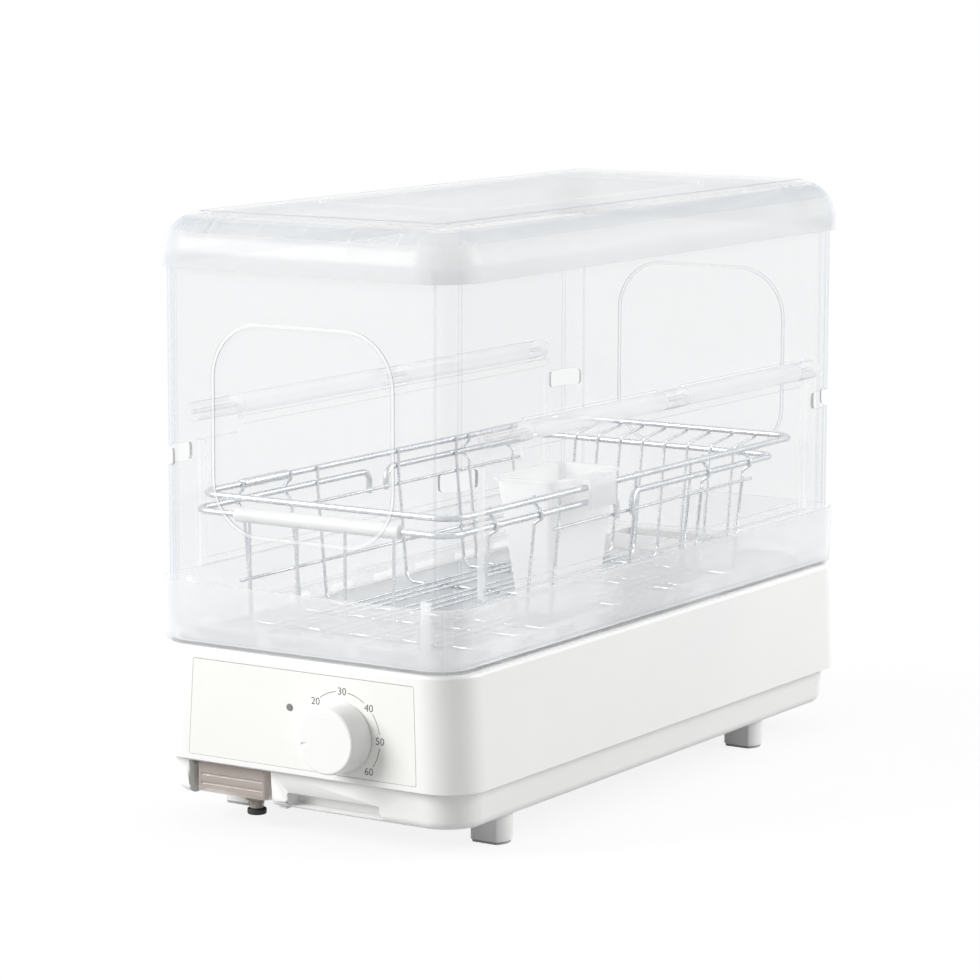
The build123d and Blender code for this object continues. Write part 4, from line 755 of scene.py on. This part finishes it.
# A face that two rows choose takes the finish of the later row
for node, finish, chosen in (
    ("hood_shell", clear_corner, on_hood_corner),
    ("hood_shell", light_corner, on_light_corner),
    ("hood_shell", clear_bead, on_hood_bead),
    ("hood_shell", corner_line, on_corner_line),
    ("hood_shell", arch_bead, on_arch_bead),
    ("hood_shell", arch_line, on_arch_line),
    ("hood_shell", slit_dark, on_catch_wall),
    ("lid", lid_lip, on_lid_lip),
    ("lid", lid_rib, on_lid_rib),
    ("lid", lid_top, on_lid_top),
    ("lid", lid_line, on_lid_line),
    ("door_left", rail_white, on_flap_edge),
    ("door_right", rail_white, on_flap_edge),
    ("drip_tray", tray_inside, on_tray_inside),
    ("drip_tray", frosted_rim, on_tray_rim),
    ("drip_tray", tray_floor_tone, on_tray_floor),
    ("drip_tray", milky, on_tray_foot),
    ("drain_drawer", smoked_rim, on_drawer_edge),
):
    refinish(finished[node], finish, chosen)

# The numbers and arcs printed on the control panel, round the dial
DIAL_X = 30.4 * MM
DIAL_Z = 68.0 * MM
PANEL_FACE_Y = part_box("control_panel")[0].y
PRINT_RADIUS = 26.4 * MM
PRINT_THICKNESS = 0.06 * MM
NUMBERS = ("20", "30", "40", "50", "60")
FIRST_ANGLE = -45.0
NUMBER_STEP = 45.0
NUMBER_HEIGHT = 4.6 * MM
FONT_SIZE_TO_HEIGHT = 1.35
LETTER_STEPS = 4
ARC_WIDTH = 0.4 * MM
ARC_GAP = 9.0
ARC_STEPS = 10
FACING_FRONT = (math.pi / 2, 0, 0)


def on_panel(piece, name):
    """Apply the place of a piece on the panel's face and give it the printed grey."""
    only(piece)
    if piece.type != "MESH":
        bpy.ops.object.convert(target="MESH")
        piece = bpy.context.object
    bpy.ops.object.transform_apply(location=True, rotation=True, scale=True)
    piece.name = name
    dress(piece, print_grey)
    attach(piece, "base")


def printed_number(number, angle):
    """A number beside the dial, at an angle clockwise from straight up."""
    turn = math.radians(angle)
    x = DIAL_X + PRINT_RADIUS * math.sin(turn)
    z = DIAL_Z + PRINT_RADIUS * math.cos(turn)
    bpy.ops.object.text_add(location=(x, PANEL_FACE_Y, z), rotation=FACING_FRONT)
    text = bpy.context.object
    text.data.body = number
    text.data.size = NUMBER_HEIGHT * FONT_SIZE_TO_HEIGHT
    text.data.align_x = "CENTER"
    text.data.align_y = "CENTER"
    text.data.extrude = PRINT_THICKNESS
    text.data.resolution_u = LETTER_STEPS
    on_panel(text, "dial_number_" + number)


def printed_arc(name, start, end):
    """A thin arc round the dial, between two angles clockwise from straight up."""
    bpy.ops.object.select_all(action="DESELECT")
    bpy.ops.mesh.primitive_plane_add(
        size=ARC_WIDTH, location=(0, 0, PRINT_RADIUS), rotation=FACING_FRONT
    )
    arc = bpy.context.object
    bpy.ops.object.transform_apply(location=True, rotation=True, scale=True)
    bpy.ops.object.mode_set(mode="EDIT")
    bpy.ops.mesh.select_all(action="DESELECT")
    bpy.ops.object.mode_set(mode="OBJECT")
    for corner in arc.data.vertices:
        corner.select = corner.co.x > 0
    bpy.ops.object.mode_set(mode="EDIT")
    bpy.ops.mesh.delete(type="VERT")
    bpy.ops.mesh.select_all(action="SELECT")
    bpy.ops.mesh.spin(
        steps=ARC_STEPS, angle=math.radians(end - start), center=(0, 0, 0), axis=(0, -1, 0)
    )
    bpy.ops.object.mode_set(mode="OBJECT")
    thick = arc.modifiers.new("print_thickness", "SOLIDIFY")
    thick.thickness = PRINT_THICKNESS
    thick.offset = 0
    bpy.ops.object.modifier_apply(modifier=thick.name)
    bpy.ops.object.mode_set(mode="EDIT")
    bpy.ops.mesh.select_all(action="SELECT")
    bpy.ops.mesh.normals_make_consistent(inside=False)
    bpy.ops.object.mode_set(mode="OBJECT")
    arc.location = (DIAL_X, PANEL_FACE_Y, DIAL_Z)
    arc.rotation_euler = (0, math.radians(start), 0)
    on_panel(arc, name)


# The second number stands straight above the dial, and an arc runs between each two numbers
for step, number in enumerate(NUMBERS):
    printed_number(number, FIRST_ANGLE + step * NUMBER_STEP)
for step in range(len(NUMBERS) - 1):
    last_number = FIRST_ANGLE + step * NUMBER_STEP
    next_number = last_number + NUMBER_STEP
    printed_arc("dial_arc_%d" % (step + 1), last_number + ARC_GAP, next_number - ARC_GAP)
